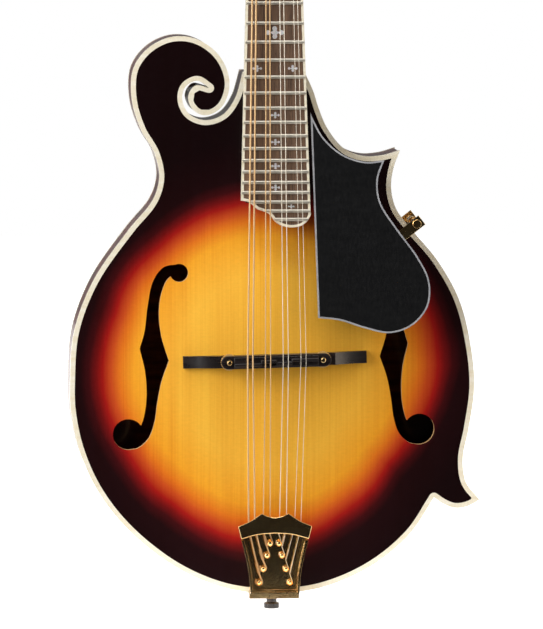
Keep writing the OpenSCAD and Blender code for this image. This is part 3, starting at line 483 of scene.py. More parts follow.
@dataclass
class Bench:
    """Mounts shapes as pieces: object, edges, shading, finishes, body and CAD nodes."""

    crease: float = 38.0
    rounding: int = 2
    weld: float = 0.002
    flat_angle: float = 0.8

    def piece(self, name: str, shape: Shape, place: Matrix, body: str, slot: str,
              finishes: Sequence["Finish"], nodes: Sequence[str] = (),
              ease: float = 0.0, edge: int = -1) -> bpy.types.Object:
        """Makes one visible piece.

        Args:
            name: Name of the piece.
            shape: Its shape.
            place: Its frame on the bench.
            body: Body that it moves with.
            slot: Material slot of the record; passed on but not used.
            finishes: Finishes, in the order of the shape's numbers.
            nodes: CAD nodes that it stands for.
            ease: Rounding of its sharp edges, in millimetres.
            edge: Number of the rounded edges' finish, or -1 for that of the faces beside them.

        Returns:
            The piece's object.
        """
        obj = bpy.data.objects.new(name, shape.mesh(name, place))
        bpy.context.scene.collection.objects.link(obj)
        for finish in finishes:
            obj.data.materials.append(finish.material())
        return self.mounted(obj, body, slot, nodes, ease, edge)

    def mounted(self, obj: bpy.types.Object, body: str, slot: str, nodes: Sequence[str],
                ease: float, edge: int = -1) -> bpy.types.Object:
        """Rounds, shades and mounts an object.

        Args:
            obj: The object.
            body: Body that it moves with.
            slot: Material slot of the record; not used.
            nodes: CAD nodes that it stands for.
            ease: Rounding of its sharp edges, in millimetres.
            edge: Number of the rounded edges' finish, or -1 for that of the faces beside them.

        Returns:
            The same object.
        """
        obj.data.shade_smooth()
        obj.data.set_sharp_from_angle(angle=math.radians(self.crease))
        if ease:
            bevel = obj.modifiers.new("ease", "BEVEL")
            bevel.width = ease * MM
            bevel.segments = self.rounding
            bevel.limit_method = "ANGLE"
            bevel.angle_limit = math.radians(self.crease)
            bevel.use_clamp_overlap = True
            bevel.material = edge
            obj.modifiers.new("flat faces", "WEIGHTED_NORMAL").keep_sharp = True
        if obj.modifiers:
            baked(obj)
        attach(obj, body)
        if nodes:
            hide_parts(*nodes)
        LOG.info("piece %s: %d faces on %s", obj.name, len(obj.data.polygons), body)
        return obj

    def eased(self, node: str, name: str, body: str, slot: str, finish: "Finish",
              ease: float, extra: Union[Shape, None] = None,
              place: Union[Matrix, None] = None) -> bpy.types.Object:
        """Stands a copy with rounded edges in for a CAD node.

        Args:
            node: CAD node.
            name: Name of the piece.
            body: Body that it moves with.
            slot: Material slot of the record; passed on but not used.
            finish: Its finish.
            ease: Rounding of its edges, in millimetres.
            extra: Shape to add to it.
            place: Frame of that shape on the bench.

        Returns:
            The piece's object.
        """
        form = bmesh.new()
        form.from_mesh(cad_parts[node].data)
        bmesh.ops.remove_doubles(form, verts=form.verts, dist=self.weld * MM)
        bmesh.ops.dissolve_limit(form, angle_limit=math.radians(self.flat_angle),
                                 verts=form.verts, edges=form.edges)
        for face in form.faces:
            face.material_index = 0
        mesh = bpy.data.meshes.new(name)
        form.to_mesh(mesh)
        form.free()
        obj = bpy.data.objects.new(name, mesh)
        bpy.context.scene.collection.objects.link(obj)
        mesh.materials.append(finish.material())
        if extra is not None:
            self.melt(obj, extra.mesh(name + "_extra", place or Matrix()))
        return self.mounted(obj, body, slot, [node], ease)

    def melt(self, obj: bpy.types.Object, mesh: bpy.types.Mesh) -> None:
        """Adds a mesh to an object's own.

        Args:
            obj: The object.
            mesh: Mesh to add, which is used up.
        """
        form = bmesh.new()
        form.from_mesh(obj.data)
        form.from_mesh(mesh)
        form.to_mesh(obj.data)
        form.free()
        bpy.data.meshes.remove(mesh)

    def dressed(self, finish: "Finish", *nodes: str) -> None:
        """Gives a finish to CAD nodes whose shape is right as it is.

        Args:
            finish: The finish.
            nodes: Names of the nodes.
        """
        for node in nodes:
            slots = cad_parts[node].material_slots
            for item in slots:
                item.material = finish.material()
            LOG.info("node %s: %s", node, type(finish).__name__)


# ---------------------------------------------------------------------------------------------
# Finishes
# ---------------------------------------------------------------------------------------------

def tone(red: int, green: int, blue: int) -> Colour:
    """Returns a shader colour from display values between 0 and 255."""
    return tuple(((v / 255 + 0.055) / 1.055) ** 2.4 if v > 10 else v / 255 / 12.92
                 for v in (red, green, blue))


class Wire:
    """A value on its way through a finish's nodes, with the usual arithmetic."""

    def __init__(self, recipe: "Recipe", socket: bpy.types.NodeSocket) -> None:
        """Keeps the recipe and the socket that the value leaves by."""
        self.recipe, self.socket = recipe, socket

    def math(self, operation: str, *values: "Value") -> "Wire":
        """Returns the result of one Math node."""
        return self.recipe.node("ShaderNodeMath", {"operation": operation},
                                dict(enumerate(values)))

    def __add__(self, other: "Value") -> "Wire":
        """Returns the sum."""
        return self.math("ADD", self, other)

    def __mul__(self, other: "Value") -> "Wire":
        """Returns the product."""
        return self.math("MULTIPLY", self, other)

    def __sub__(self, other: "Value") -> "Wire":
        """Returns the difference."""
        return self.math("SUBTRACT", self, other)

    def __rsub__(self, other: "Value") -> "Wire":
        """Returns the difference from a number."""
        return self.math("SUBTRACT", other, self)

    __radd__ = __add__
    __rmul__ = __mul__


Value = Union[Wire, float, Sequence[float]]


class Recipe:
    """The node tree of one material, or of the room around the instrument."""

    def __init__(self, name: str, world: Union[bpy.types.World, None] = None) -> None:
        """Makes an empty material with a shader and an output, or takes the world's nodes."""
        self.material = world or bpy.data.materials.new(name)
        self.material.use_nodes = True
        self.tree = self.material.node_tree
        self.shader = self.tree.nodes["Background" if world else "Principled BSDF"]

    def node(self, kind: str, settings: dict[str, object], values: dict[object, Value],
             out: Union[int, str] = 0) -> Wire:
        """Adds any node.

        Args:
            kind: Type of the node.
            settings: Its properties; stops are a ramp's (place, colour) pairs.
            values: Numbers, colours or wires by the number or name of their socket.
            out: Number or name of the output.

        Returns:
            The wire that leaves it.
        """
        node = self.tree.nodes.new(kind)
        for key, value in settings.items():
            if key == "stops":
                self._stops(node.color_ramp, value)
            else:
                setattr(node, key, value)
        for key, value in values.items():
            if isinstance(value, Wire):
                self.tree.links.new(value.socket, node.inputs[key])
            else:
                node.inputs[key].default_value = value
        return Wire(self, node.outputs[out])

    @staticmethod
    def _stops(ramp: bpy.types.ColorRamp, stops: Sequence[tuple[float, Colour]]) -> None:
        """Sets a ramp's stops."""
        for place, _ in stops[2:]:
            ramp.elements.new(place)
        for element, (place, colour) in zip(ramp.elements, stops):
            element.position = place
            element.color = (*colour, 1)

    def place(self, scale: Sequence[float]) -> Wire:
        """Returns the place on the piece in millimetres, stretched along each axis."""
        spot = self.node("ShaderNodeTexCoord", {}, {}, "Object")
        return self.node("ShaderNodeVectorMath", {"operation": "MULTIPLY"},
                         {0: spot, 1: [s / MM for s in scale]})

    def mark(self, name: str) -> Wire:
        """Returns a mark that the mesh carries."""
        return self.node("ShaderNodeAttribute", {"attribute_name": name}, {}, "Fac")

    def noise(self, scale: Sequence[float], detail: float = 2.0, rough: float = 0.5) -> Wire:
        """Returns noise between 0 and 1, with scale in waves per millimetre along each axis."""
        return self.node("ShaderNodeTexNoise", {},
                         {"Vector": self.place(scale), "Scale": 1.0, "Detail": detail,
                          "Roughness": rough})

    def span(self, value: Wire, low: float, high: float, start: float = 0.0,
             end: float = 1.0) -> Wire:
        """Maps a range of values to another one and holds it there."""
        return self.node("ShaderNodeMapRange", {},
                         {0: value, 1: low, 2: high, 3: start, 4: end})

    def ramp(self, value: Wire, stops: Sequence[tuple[float, Colour]]) -> Wire:
        """Returns a colour for each value."""
        return self.node("ShaderNodeValToRGB", {"stops": stops}, {"Fac": value}, "Color")

    def mix(self, share: Value, first: Value, second: Value, blend: str = "MIX") -> Wire:
        """Mixes two colours.

        Args:
            share: How much of the second is taken.
            first: First colour.
            second: Second colour.
            blend: Way to mix them.

        Returns:
            The mixed colour.
        """
        colours = {}
        for key, value in ((6, first), (7, second)):
            colours[key] = value if isinstance(value, Wire) else (*value, 1)
        return self.node("ShaderNodeMix", {"data_type": "RGBA", "blend_type": blend},
                         {0: share, **colours}, 2)

    def bump(self, height: Wire, depth: float, strength: float = 1.0) -> Wire:
        """Returns a normal for a height between 0 and 1 and a depth in millimetres."""
        return self.node("ShaderNodeBump", {},
                         {"Height": height, "Distance": depth * MM, "Strength": strength})

    def surface(self, colour: Value, roughness: Value, normal: Union[Wire, None] = None,
                **constants: float) -> None:
        """Feeds the shader.

        Args:
            colour: Base colour.
            roughness: Roughness.
            normal: Normal.
            constants: Values that are the same all over, with _ for a space in the name.
        """
        feeds = {"Base Color": colour, "Roughness": roughness}
        if normal is not None:
            feeds["Normal"] = normal
        for key, value in feeds.items():
            socket = self.shader.inputs[key]
            if isinstance(value, Wire):
                self.tree.links.new(value.socket, socket)
            else:
                socket.default_value = (*value, 1) if key == "Base Color" else value
        for key, value in constants.items():
            self.shader.inputs[key.replace("_", " ")].default_value = value


MATERIALS: dict["Finish", bpy.types.Material] = {}


@dataclass(frozen=True)
class Finish:
    """A finish of the instrument. Its material is made once and shared."""

    name: str

    def material(self) -> bpy.types.Material:
        """Returns the finish's material."""
        if self not in MATERIALS:
            recipe = Recipe(self.name)
            self.build(recipe)
            MATERIALS[self] = recipe.material
        return MATERIALS[self]

    def build(self, r: Recipe) -> None:
        """Adds the finish's nodes to a recipe."""
        raise NotImplementedError


@dataclass(frozen=True)
class SunburstSpruce(Finish):
    """Straight-grained spruce under a lacquer shaded from amber to near black."""

    amber: Colour = tone(250, 190, 66)
    honey: Colour = tone(244, 168, 44)
    orange: Colour = tone(226, 120, 32)
    red: Colour = tone(162, 26, 22)
    dark: Colour = tone(30, 8, 11)

    def build(self, r: Recipe) -> None:
        """Lays grain, streaks and the shading over one another."""
        drift = r.noise((0.03, 0.03, 0.02), 3.0)
        shade = r.mark("burst") + (drift - 0.5) * 0.05
        body = r.ramp(shade * 0.764, [
            (0.0, self.amber), (0.42, self.amber), (0.585, self.honey), (0.65, self.orange),
            (0.69, tone(200, 78, 32)), (0.73, self.red), (0.76, tone(112, 18, 20)),
            (0.79, tone(62, 12, 16)), (0.83, self.dark), (1.0, tone(20, 6, 8))])
        lines = r.span(r.noise((1.0, 0.03, 0.006), 3.0, 0.65), 0.42, 0.72)
        streaks = r.span(r.noise((0.07, 0.02, 0.0022), 2.0), 0.5, 0.78)
        silk = r.noise((0.35, 0.1, 0.9), 2.0, 0.6)
        grain = r.mix(lines * 0.34, body, r.mix(1.0, body, (0.78, 0.5, 0.26), "MULTIPLY"))
        grain = r.mix(streaks * 0.5, grain, r.mix(1.0, grain, (0.84, 0.62, 0.38), "MULTIPLY"))
        colour = r.mix(1.0, grain, 0.93 + silk * 0.14, "MULTIPLY")
        r.surface(colour, r.span(silk, 0.3, 0.7, 0.3, 0.42), r.bump(lines, 0.02, 0.35),
                  Coat_Weight=0.6, Coat_Roughness=0.06, Specular_IOR_Level=0.12)


@dataclass(frozen=True)
class FlamedMaple(Finish):
    """Figured maple with flames across the grain, stained and lacquered."""

    light: Colour = tone(104, 38, 20)
    deep: Colour = tone(58, 16, 13)
    dark: Colour = tone(26, 8, 9)
    shaded: bool = False
    flame: tuple[float, float, float] = (0.025, 0.05, 0.17)

    def build(self, r: Recipe) -> None:
        """Lays flames, pores and the stain over one another."""
        wave = r.span(r.noise(self.flame, 2.5, 0.55), 0.36, 0.66)
        pores = r.span(r.noise((1.6, 1.6, 0.08), 3.0, 0.7), 0.5, 0.8)
        colour = r.mix(wave, self.deep, self.light)
        if self.shaded:
            edge = r.mark("burst") + (wave - 0.5) * 0.03
            colour = r.mix(r.span(edge, 0.62, 0.9), colour,
                           r.mix(wave, tone(70, 16, 14), tone(96, 26, 18)))
            colour = r.mix(r.span(edge, 0.86, 1.08), colour, self.dark)
        colour = r.mix(pores * 0.3, colour, self.dark)
        r.surface(colour, r.span(wave, 0.0, 1.0, 0.4, 0.32), r.bump(pores, 0.02, 0.3),
                  Coat_Weight=0.5, Coat_Roughness=0.1, Specular_IOR_Level=0.2)


@dataclass(frozen=True)
class RawWood(Finish):
    """Unfinished spruce inside the body."""

    pale: Colour = tone(206, 168, 116)
    late: Colour = tone(160, 116, 72)

    def build(self, r: Recipe) -> None:
        """Draws soft year lines."""
        lines = r.span(r.noise((0.9, 0.9, 0.01), 3.0, 0.6), 0.4, 0.75)
        r.surface(r.mix(lines * 0.6, self.pale, self.late), 0.75, r.bump(lines, 0.05, 0.5))


@dataclass(frozen=True)
class Rosewood(Finish):
    """Oiled rosewood with dark streaks and open pores."""

    light: Colour = tone(146, 116, 92)
    mid: Colour = tone(102, 78, 62)
    dark: Colour = tone(56, 41, 34)

    def build(self, r: Recipe) -> None:
        """Mixes streaks, fine figure and pores."""
        streaks = r.span(r.noise((0.28, 0.1, 0.006), 3.0, 0.6), 0.34, 0.68)
        figure = r.span(r.noise((1.5, 0.6, 0.03), 3.0, 0.6), 0.35, 0.7)
        pores = r.span(r.noise((4.0, 3.0, 0.22), 2.0, 0.6), 0.62, 0.72)
        colour = r.mix(streaks, self.dark, self.mid)
        colour = r.mix(figure * 0.55, colour, self.light)
        colour = r.mix(pores * 0.8, colour, tone(24, 16, 15))
        r.surface(colour, r.span(figure, 0.0, 1.0, 0.5, 0.38), r.bump(1 - pores, 0.06, 0.6),
                  Specular_IOR_Level=0.5)


@dataclass(frozen=True)
class Ebony(Finish):
    """Polished ebony with faint brown streaks."""

    black: Colour = tone(26, 22, 24)
    streak: Colour = tone(54, 44, 42)

    def build(self, r: Recipe) -> None:
        """Draws faint lengthwise streaks and rubbed patches."""
        lines = r.span(r.noise((0.02, 0.6, 0.6), 3.0, 0.6), 0.45, 0.75)
        rubbed = r.noise((0.12, 0.2, 0.2), 3.0, 0.6)
        r.surface(r.mix(lines * 0.5, self.black, self.streak),
                  r.span(rubbed, 0.3, 0.7, 0.24, 0.4), r.bump(lines, 0.03, 0.4),
                  Coat_Weight=0.25, Coat_Roughness=0.2)


@dataclass(frozen=True)
class Plastic(Finish):
    """Polished plastic or bone with a drifting tone, fine lines and handling marks."""

    base: Colour = tone(252, 247, 230)
    aged: Colour = tone(242, 232, 204)
    gloss: float = 0.22
    drift: tuple[float, float, float] = (0.05, 0.05, 0.3)
    coat: float = 0.4

    def build(self, r: Recipe) -> None:
        """Mixes the drift of the tone with fine rubbing marks."""
        tint = r.span(r.noise(self.drift, 3.0, 0.6), 0.35, 0.7)
        rubs = r.noise((0.9, 0.9, 0.25), 4.0, 0.7)
        r.surface(r.mix(tint, self.base, self.aged),
                  r.span(rubs, 0.35, 0.75, self.gloss, self.gloss + 0.14),
                  r.bump(rubs, 0.01, 0.3), Coat_Weight=self.coat, Coat_Roughness=0.1)


@dataclass(frozen=True)
class Pearl(Finish):
    """Mother-of-pearl with drifting pale colours."""

    wave: float = 0.5

    def build(self, r: Recipe) -> None:
        """Runs pale pink, green and silver into one another."""
        swirl = r.noise((self.wave, self.wave, self.wave), 3.0, 0.6)
        colour = r.ramp(swirl, [(0.3, tone(222, 226, 228)), (0.42, tone(196, 214, 214)),
                                (0.5, tone(236, 226, 228)), (0.58, tone(206, 210, 224)),
                                (0.7, tone(240, 240, 232))])
        r.surface(colour, r.span(swirl, 0.3, 0.7, 0.16, 0.3), r.bump(swirl, 0.03, 0.3),
                  Coat_Weight=0.8, Coat_Roughness=0.06, Metallic=0.15)


@dataclass(frozen=True)
class Metal(Finish):
    """Plated or plain metal with small scratches, and darker where it has been handled."""

    base: Colour = tone(255, 222, 160)
    worn: Colour = tone(226, 180, 116)
    gloss: float = 0.12
    scratch: tuple[float, float, float] = (1.2, 1.2, 1.2)
    metallic: float = 1.0

    def build(self, r: Recipe) -> None:
        """Mixes tarnish and fine scratches."""
        tarnish = r.span(r.noise((0.09, 0.09, 0.09), 4.0, 0.6), 0.42, 0.75)
        marks = r.noise(self.scratch, 4.0, 0.75)
        r.surface(r.mix(tarnish, self.base, self.worn),
                  r.span(marks, 0.35, 0.7, self.gloss, self.gloss + 0.12),
                  r.bump(marks, 0.006, 0.2), Metallic=self.metallic)


@dataclass(frozen=True)
class WoundWire(Finish):
    """Bronze wire wound close round a core."""

    # crown colour: a painted highlight on the crowns of the turns
    crown_highlight: Colour = tone(255, 234, 186)
    # groove colour: painted shade between the turns; random wear also mixes it in
    groove_shade_and_wear: Colour = tone(196, 140, 84)
    pitch: float = 0.34

    def build(self, r: Recipe) -> None:
        """Draws the turns across the string's length, with painted shade in the grooves between
        them and a painted highlight on their crowns.
        """
        place = r.node("ShaderNodeSeparateXYZ", {}, {0: r.place((1, 1, 1))}, "Z")
        phase = place * (2 * math.pi / self.pitch)
        height = r.span(phase.math("SINE", phase), -1.0, 1.0)
        wear = r.noise((0.2, 0.2, 0.04), 3.0, 0.6)
        # painted shade in the grooves and painted highlight on the crowns, following the turns'
        # height
        colour = r.mix(height, self.groove_shade_and_wear, self.crown_highlight)
        r.surface(r.mix(wear * 0.3, colour, self.groove_shade_and_wear), r.span(wear, 0.3, 0.7, 0.4, 0.55),
                  r.bump(height, 0.04, 0.4), Metallic=0.45)


@dataclass(frozen=True)
class PaleFloor(Finish):
    """The studio's even, pale floor."""

    glow: float = 0.75

    def build(self, r: Recipe) -> None:
        """Gives the floor an even glow and a faint unevenness."""
        cloud = r.noise((0.002, 0.002, 0.002), 2.0)
        r.surface(r.mix(cloud, tone(240, 240, 240), tone(246, 246, 246)), 0.9,
                  Specular_IOR_Level=0.0, Emission_Strength=self.glow)
        r.shader.inputs["Emission Color"].default_value = (1, 1, 1, 1)


class Finishes(Enum):
    """The instrument's finishes."""

    TOP = SunburstSpruce("sunburst_spruce")
    BACK = FlamedMaple("flamed_maple_back", light=tone(176, 92, 36), deep=tone(122, 52, 24),
                       shaded=True)
    SIDES = FlamedMaple("flamed_maple_sides", light=tone(100, 34, 20), deep=tone(52, 15, 12))
    NECK = FlamedMaple("flamed_maple_neck", light=tone(96, 34, 20), deep=tone(54, 17, 14))
    RAW = RawWood("raw_spruce")
    BOARD = Rosewood("rosewood")
    EBONY = Ebony("ebony")
    IVORY = Plastic("ivory_binding")
    GUARD = Plastic("guard_black", base=tone(17, 18, 20), aged=tone(12, 13, 15), gloss=0.3,
                    coat=0.15)
    LACQUER = Plastic("black_lacquer", base=tone(9, 9, 10), aged=tone(15, 14, 15), gloss=0.12,
                      coat=0.8)
    LINE = Plastic("grey_line", base=tone(176, 178, 184), aged=tone(150, 153, 160))
    PEARL = Pearl("pearl")
    BUTTON = Pearl("pearl_button", wave=0.22)
    BONE = Plastic("bone", base=tone(240, 232, 214), aged=tone(226, 212, 184), gloss=0.3)
    FRET = Metal("nickel_wire", base=tone(226, 220, 206), worn=tone(206, 200, 186), gloss=0.34,
                 metallic=0.75)
    PLAIN = Metal("plain_steel", base=tone(250, 244, 230), worn=tone(232, 224, 210), gloss=0.34,
                  metallic=0.5)
    WOUND = WoundWire("bronze_wound")
    GOLD = Metal("gold_plate")
    KNURL = Metal("knurled_gold", base=tone(255, 214, 140), gloss=0.38, metallic=0.7)
    STEEL = Metal("steel", base=tone(190, 190, 192), worn=tone(150, 148, 146), gloss=0.28)
    PIN = Plastic("dark_pin", base=tone(26, 20, 18), aged=tone(40, 28, 22), gloss=0.2)


# ---------------------------------------------------------------------------------------------
# Layout
# ---------------------------------------------------------------------------------------------

@dataclass(frozen=True)
class Layout:
    """Sizes and levels that the sub-assemblies share, in millimetres and degrees."""

    scale_length: float = 352.4
    neck_angle: float = 5.0
    head_angle: float = 14.0
    string_rise: float = 8.5
    bridge_h: float = 17.2
    bridge_roll: float = 1.5
    top_arch: float = 14.0
    back_arch: float = 12.0
    body_depth: float = 44.0
    plate_edge: float = 5.0
    plate_crown: float = 4.5
    binding_w: float = 3.0
    gap: float = 0.05
    tail: float = -146.5
    nut_w: float = 28.0
    nut_l: float = 5.0
    board_w: float = 42.8
    board_t: float = 5.0
    fret_h: float = 1.0
    last_full_fret: int = 22
    overlay_t: float = 1.5
    head_t: float = 14.0
    first_post: float = 36.0
    tuner_pitch: float = 23.0
    row_x: float = 19.0
    post_r: float = 3.0
    tail_seat: float = 42.0
    tail_lift: float = 0.6

    @property
    def saddle_y(self) -> float:
        """Place of the bridge's line along the body."""
        turn = math.radians(self.neck_angle)
        return -self.scale_length * math.cos(turn) + self.string_rise * math.sin(turn)

    @property
    def saddle_z(self) -> float:
        """Height of the strings over the bridge."""
        turn = math.radians(self.neck_angle)
        return self.scale_length * math.sin(turn) + self.string_rise * math.cos(turn)

    @property
    def top_z(self) -> float:
        """Level of the top's edge."""
        return self.saddle_z - self.bridge_h - self.top_arch

    @property
    def back_z(self) -> float:
        """Level of the back's edge."""
        return self.top_z - self.body_depth

    @property
    def tail_plate_z(self) -> float:
        """Level of the tailpiece's plate."""
        return ARCH.top(np.array([[0.0, self.tail + self.tail_seat]]))[0] + self.tail_lift

    @property
    def board_end(self) -> float:
        """Distance from the nut to the last fret that runs the whole way across."""
        return self.scale_length * (1 - 2 ** (-self.last_full_fret / 12))

    def half_board(self, y: float) -> float:
        """Returns half of the fingerboard's width at a place on the neck."""
        return self.nut_w / 2 - (self.board_w - self.nut_w) / 2 / self.board_end * y

    def post(self, i: int) -> tuple[float, float]:
        """Returns where a string post stands on the head."""
        return (-1 if i < 4 else 1) * self.row_x, self.first_post + self.row(i) * self.tuner_pitch

    @staticmethod
    def row(i: int) -> int:
        """Returns a post's place in its row, counted from the nut."""
        return i if i < 4 else 7 - i


@dataclass(frozen=True)
class Arch:
    """The carved arching of both plates."""

    width: float = 112.0
    length: float = 131.0
    middle: float = -3.0
    egg: float = 0.22
    power: float = 1.3

    def bell(self, pts: np.ndarray) -> np.ndarray:
        """Returns the share of the arch's height at plan points."""
        v = (pts[:, 1] - self.middle) / self.length
        share = np.hypot(pts[:, 0] / (self.width * (1 - self.egg * v)), v)
        return (1 + np.cos(math.pi * np.minimum(share, 1) ** self.power)) / 2

    def top(self, pts: np.ndarray) -> np.ndarray:
        """Returns the height of the top's outer face."""
        return SIZES.top_z + SIZES.top_arch * self.bell(pts)

    def top_inside(self, pts: np.ndarray) -> np.ndarray:
        """Returns the height of the top's inner face."""
        return self.top(pts) - self._thickness(pts)

    def back(self, pts: np.ndarray) -> np.ndarray:
        """Returns the height of the back's outer face."""
        return SIZES.back_z - SIZES.back_arch * self.bell(pts)

    def back_inside(self, pts: np.ndarray) -> np.ndarray:
        """Returns the height of the back's inner face."""
        return self.back(pts) + self._thickness(pts)

    def _thickness(self, pts: np.ndarray) -> np.ndarray:
        """Returns the thickness of a plate."""
        return SIZES.plate_edge - (SIZES.plate_edge - SIZES.plate_crown) * self.bell(pts)


SIZES = Layout()
ARCH = Arch()
ROW = Matrix.Scale(MM, 4) @ Matrix.Rotation(math.radians(90), 4, "X")
BODY = Matrix.Translation((0, SIZES.saddle_y, 0))
TAIL = BODY @ Matrix.Translation((0, SIZES.tail, 0))
NECK = Matrix.Rotation(math.radians(-SIZES.neck_angle), 4, "X")
HEAD = (NECK @ Matrix.Translation((0, SIZES.nut_l, 0))
        @ Matrix.Rotation(math.radians(-SIZES.head_angle), 4, "X"))
BENCH = Matrix()


# ---------------------------------------------------------------------------------------------
# Sub-assemblies
# ---------------------------------------------------------------------------------------------

@dataclass
class Shading:
    """The egg-shaped light area of the sunburst, as radii round its middle."""

    middle: tuple[float, float] = (-2.0, -5.0)
    radii: tuple[tuple[float, float], ...] = (
        (0, 109), (30, 107), (60, 106), (90, 107), (112, 108), (133, 106), (147, 107.5),
        (162, 107), (180, 109.5), (197, 109), (235, 109), (257, 115), (275, 115), (295, 108),
        (309, 103.5), (320, 99), (340, 104))

    def marks(self, pts: np.ndarray) -> np.ndarray:
        """Returns 1 on the red band, less towards the middle and more towards the edge."""
        offset = pts[:, :2] - np.array(self.middle)
        angle = np.degrees(np.arctan2(offset[:, 1], offset[:, 0])) % 360
        at, radius = np.array(self.radii).T
        return np.hypot(*offset.T) / np.interp(angle, at, radius, period=360)


@dataclass
class Body:
    """The carved plates, the sides, the bindings and what is inside."""

    bench: Bench
    rim_t: float = 2.2
    edge_step: float = 1.4
    plate_grid: float = 3.2
    edge_ease: float = 0.6
    hole_ease: float = 0.4
    upper_eye: tuple[float, float, float] = (-59, 53.5, 5.6)
    lower_eye: tuple[float, float, float] = (-90.5, -47, 9.6)
    treble_shift: float = 2.5
    shading: Shading = field(default_factory=Shading)
    cutaway: tuple = ((19, 178), (24.5, 166), (28, 155), (33.5, 142.5), (44, 130), (56, 125.5),
                      (68, 126), (78.5, 129))
    treble_side: tuple = ((78.5, 129), (74.5, 118), (73, 106), (76, 93), (85.5, 80),
                          (101.5, 61), (115.5, 36), (123, 6), (125, -19), (121.5, -45),
                          (118, -63), (120, -78), (128.5, -89))
    lower_point: tuple = ((128.5, -89), (121, -93), (113, -94), (106, -91.5), (100, -87.5))
    bass_side: tuple = ((100, -87.5), (85, -110), (60, -130.5), (29, -143.5), (0, -146.5),
                        (-29, -143.5), (-60, -130.5), (-90, -107), (-109, -83), (-120.5, -58),
                        (-126, -33), (-126.5, -12), (-124, 17), (-112, 48.5), (-90, 80),
                        (-75, 98.5), (-71, 112.5), (-74, 127.5), (-82.5, 142.5), (-88, 161),
                        (-87, 180), (-78, 192.5), (-64, 199.5), (-50, 199), (-37, 191.5),
                        (-29.5, 180.5), (-27.5, 168.5), (-32.5, 156), (-42.5, 151),
                        (-50.5, 155), (-53, 163), (-48.5, 169.5), (-40, 168))
    scroll_slit: tuple = ((-40, 168), (-47.5, 172.5), (-55, 168.5), (-56.7, 160.5),
                          (-52.5, 152), (-42.5, 148), (-31.5, 151.5), (-24, 161.5), (-19, 178))
    hole_curves: tuple = (
        ((-59, 59), (-68.5, 57), (-75, 48.5), (-78.5, 33), (-80.5, 17), (-83.5, 6.5)),
        ((-83.5, 6.5), (-80, -9), (-79.5, -26.5), (-81.5, -38), (-84, -44)),
        ((-90.5, -56.5), (-84.5, -55.5), (-78, -49.5), (-74.5, -40), (-72.5, -26.5),
         (-70, -14), (-65.5, -1)),
        ((-65.5, -1), (-70, 14), (-71.5, 29.5), (-69.5, 42), (-65.5, 50), (-59, 53.5)))

    def outline(self) -> Loop:
        """Returns the body's outline, with the scroll."""
        curves = (self.cutaway, self.treble_side, self.lower_point, self.bass_side,
                  self.scroll_slit)
        points = [p for curve in curves for p in smooth(curve)]
        return Loop(np.array(points + [[-19, 178]])).spaced(self.edge_step)

    def sound_holes(self) -> list[Loop]:
        """Returns both sound holes, each as a slot and two round eyes."""
        outer_top, outer_low, inner_low, inner_top = self.hole_curves
        slot = Loop(np.array(smooth(outer_top) + smooth(outer_low) + [outer_low[-1]]
                             + [self.lower_eye[:2]] + smooth(inner_low) + smooth(inner_top)
                             + [self.upper_eye[:2]])).spaced(1.0)
        bass = [slot] + [Loop.circle(eye[:2], eye[2]) for eye in (self.upper_eye, self.lower_eye)]
        return bass + [loop.moved((-1, 1), (0, self.treble_shift)) for loop in bass]

    def plate(self, holes: Sequence[Loop], low: Height, high: Height,
              low_finish: int) -> Shape:
        """Builds one carved plate with its shading marks.

        Args:
            holes: Openings in the plate.
            low: Height of its lower surface.
            high: Height of its upper surface.
            low_finish: Number of the lower surface's finish.

        Returns:
            The plate.
        """
        outer = self.outline().inset(SIZES.binding_w + SIZES.gap, self.edge_step)
        shape = slab(outer, holes, low, high, self.plate_grid, 1, low_finish)
        shape.marks = {"burst": self.shading.marks(shape.points)}
        return shape

    def build(self) -> None:
        """Builds the plates, sides and bindings, and dresses the inside."""
        outline = self.outline()
        raw = Finishes.RAW.value
        self.bench.piece(
            "carved_top", self.plate(self.sound_holes(), ARCH.top_inside, ARCH.top, 1),
            BODY, "instrument", "spruce", [Finishes.TOP.value, raw], ["soundboard"],
            ease=self.hole_ease, edge=1)
        self.bench.piece(
            "carved_back", self.plate([], ARCH.back, ARCH.back_inside, 0),
            BODY, "instrument", "maple", [Finishes.BACK.value, raw], ["back_plate"])
        low, high = SIZES.back_z + SIZES.plate_edge, SIZES.top_z - SIZES.plate_edge
        sides = slab(outline.inset(SIZES.gap, self.edge_step),
                     [outline.inset(self.rim_t, self.edge_step)], low, high)
        self.bench.piece("bent_sides", sides, BODY, "instrument", "maple",
                         [Finishes.SIDES.value], ["rim"])
        inner = outline.inset(SIZES.binding_w, self.edge_step)
        for name, base in (("top_binding", high), ("back_binding", SIZES.back_z)):
            band = slab(outline, [inner], base, base + SIZES.plate_edge)
            self.bench.piece(name + "_strip", band, BODY, "instrument", "ivory_plastic",
                             [Finishes.IVORY.value], [name], ease=self.edge_ease)
        self.bench.dressed(raw, "linings", "tone_bars", "head_block", "scroll_block",
                           "point_blocks", "tail_block")


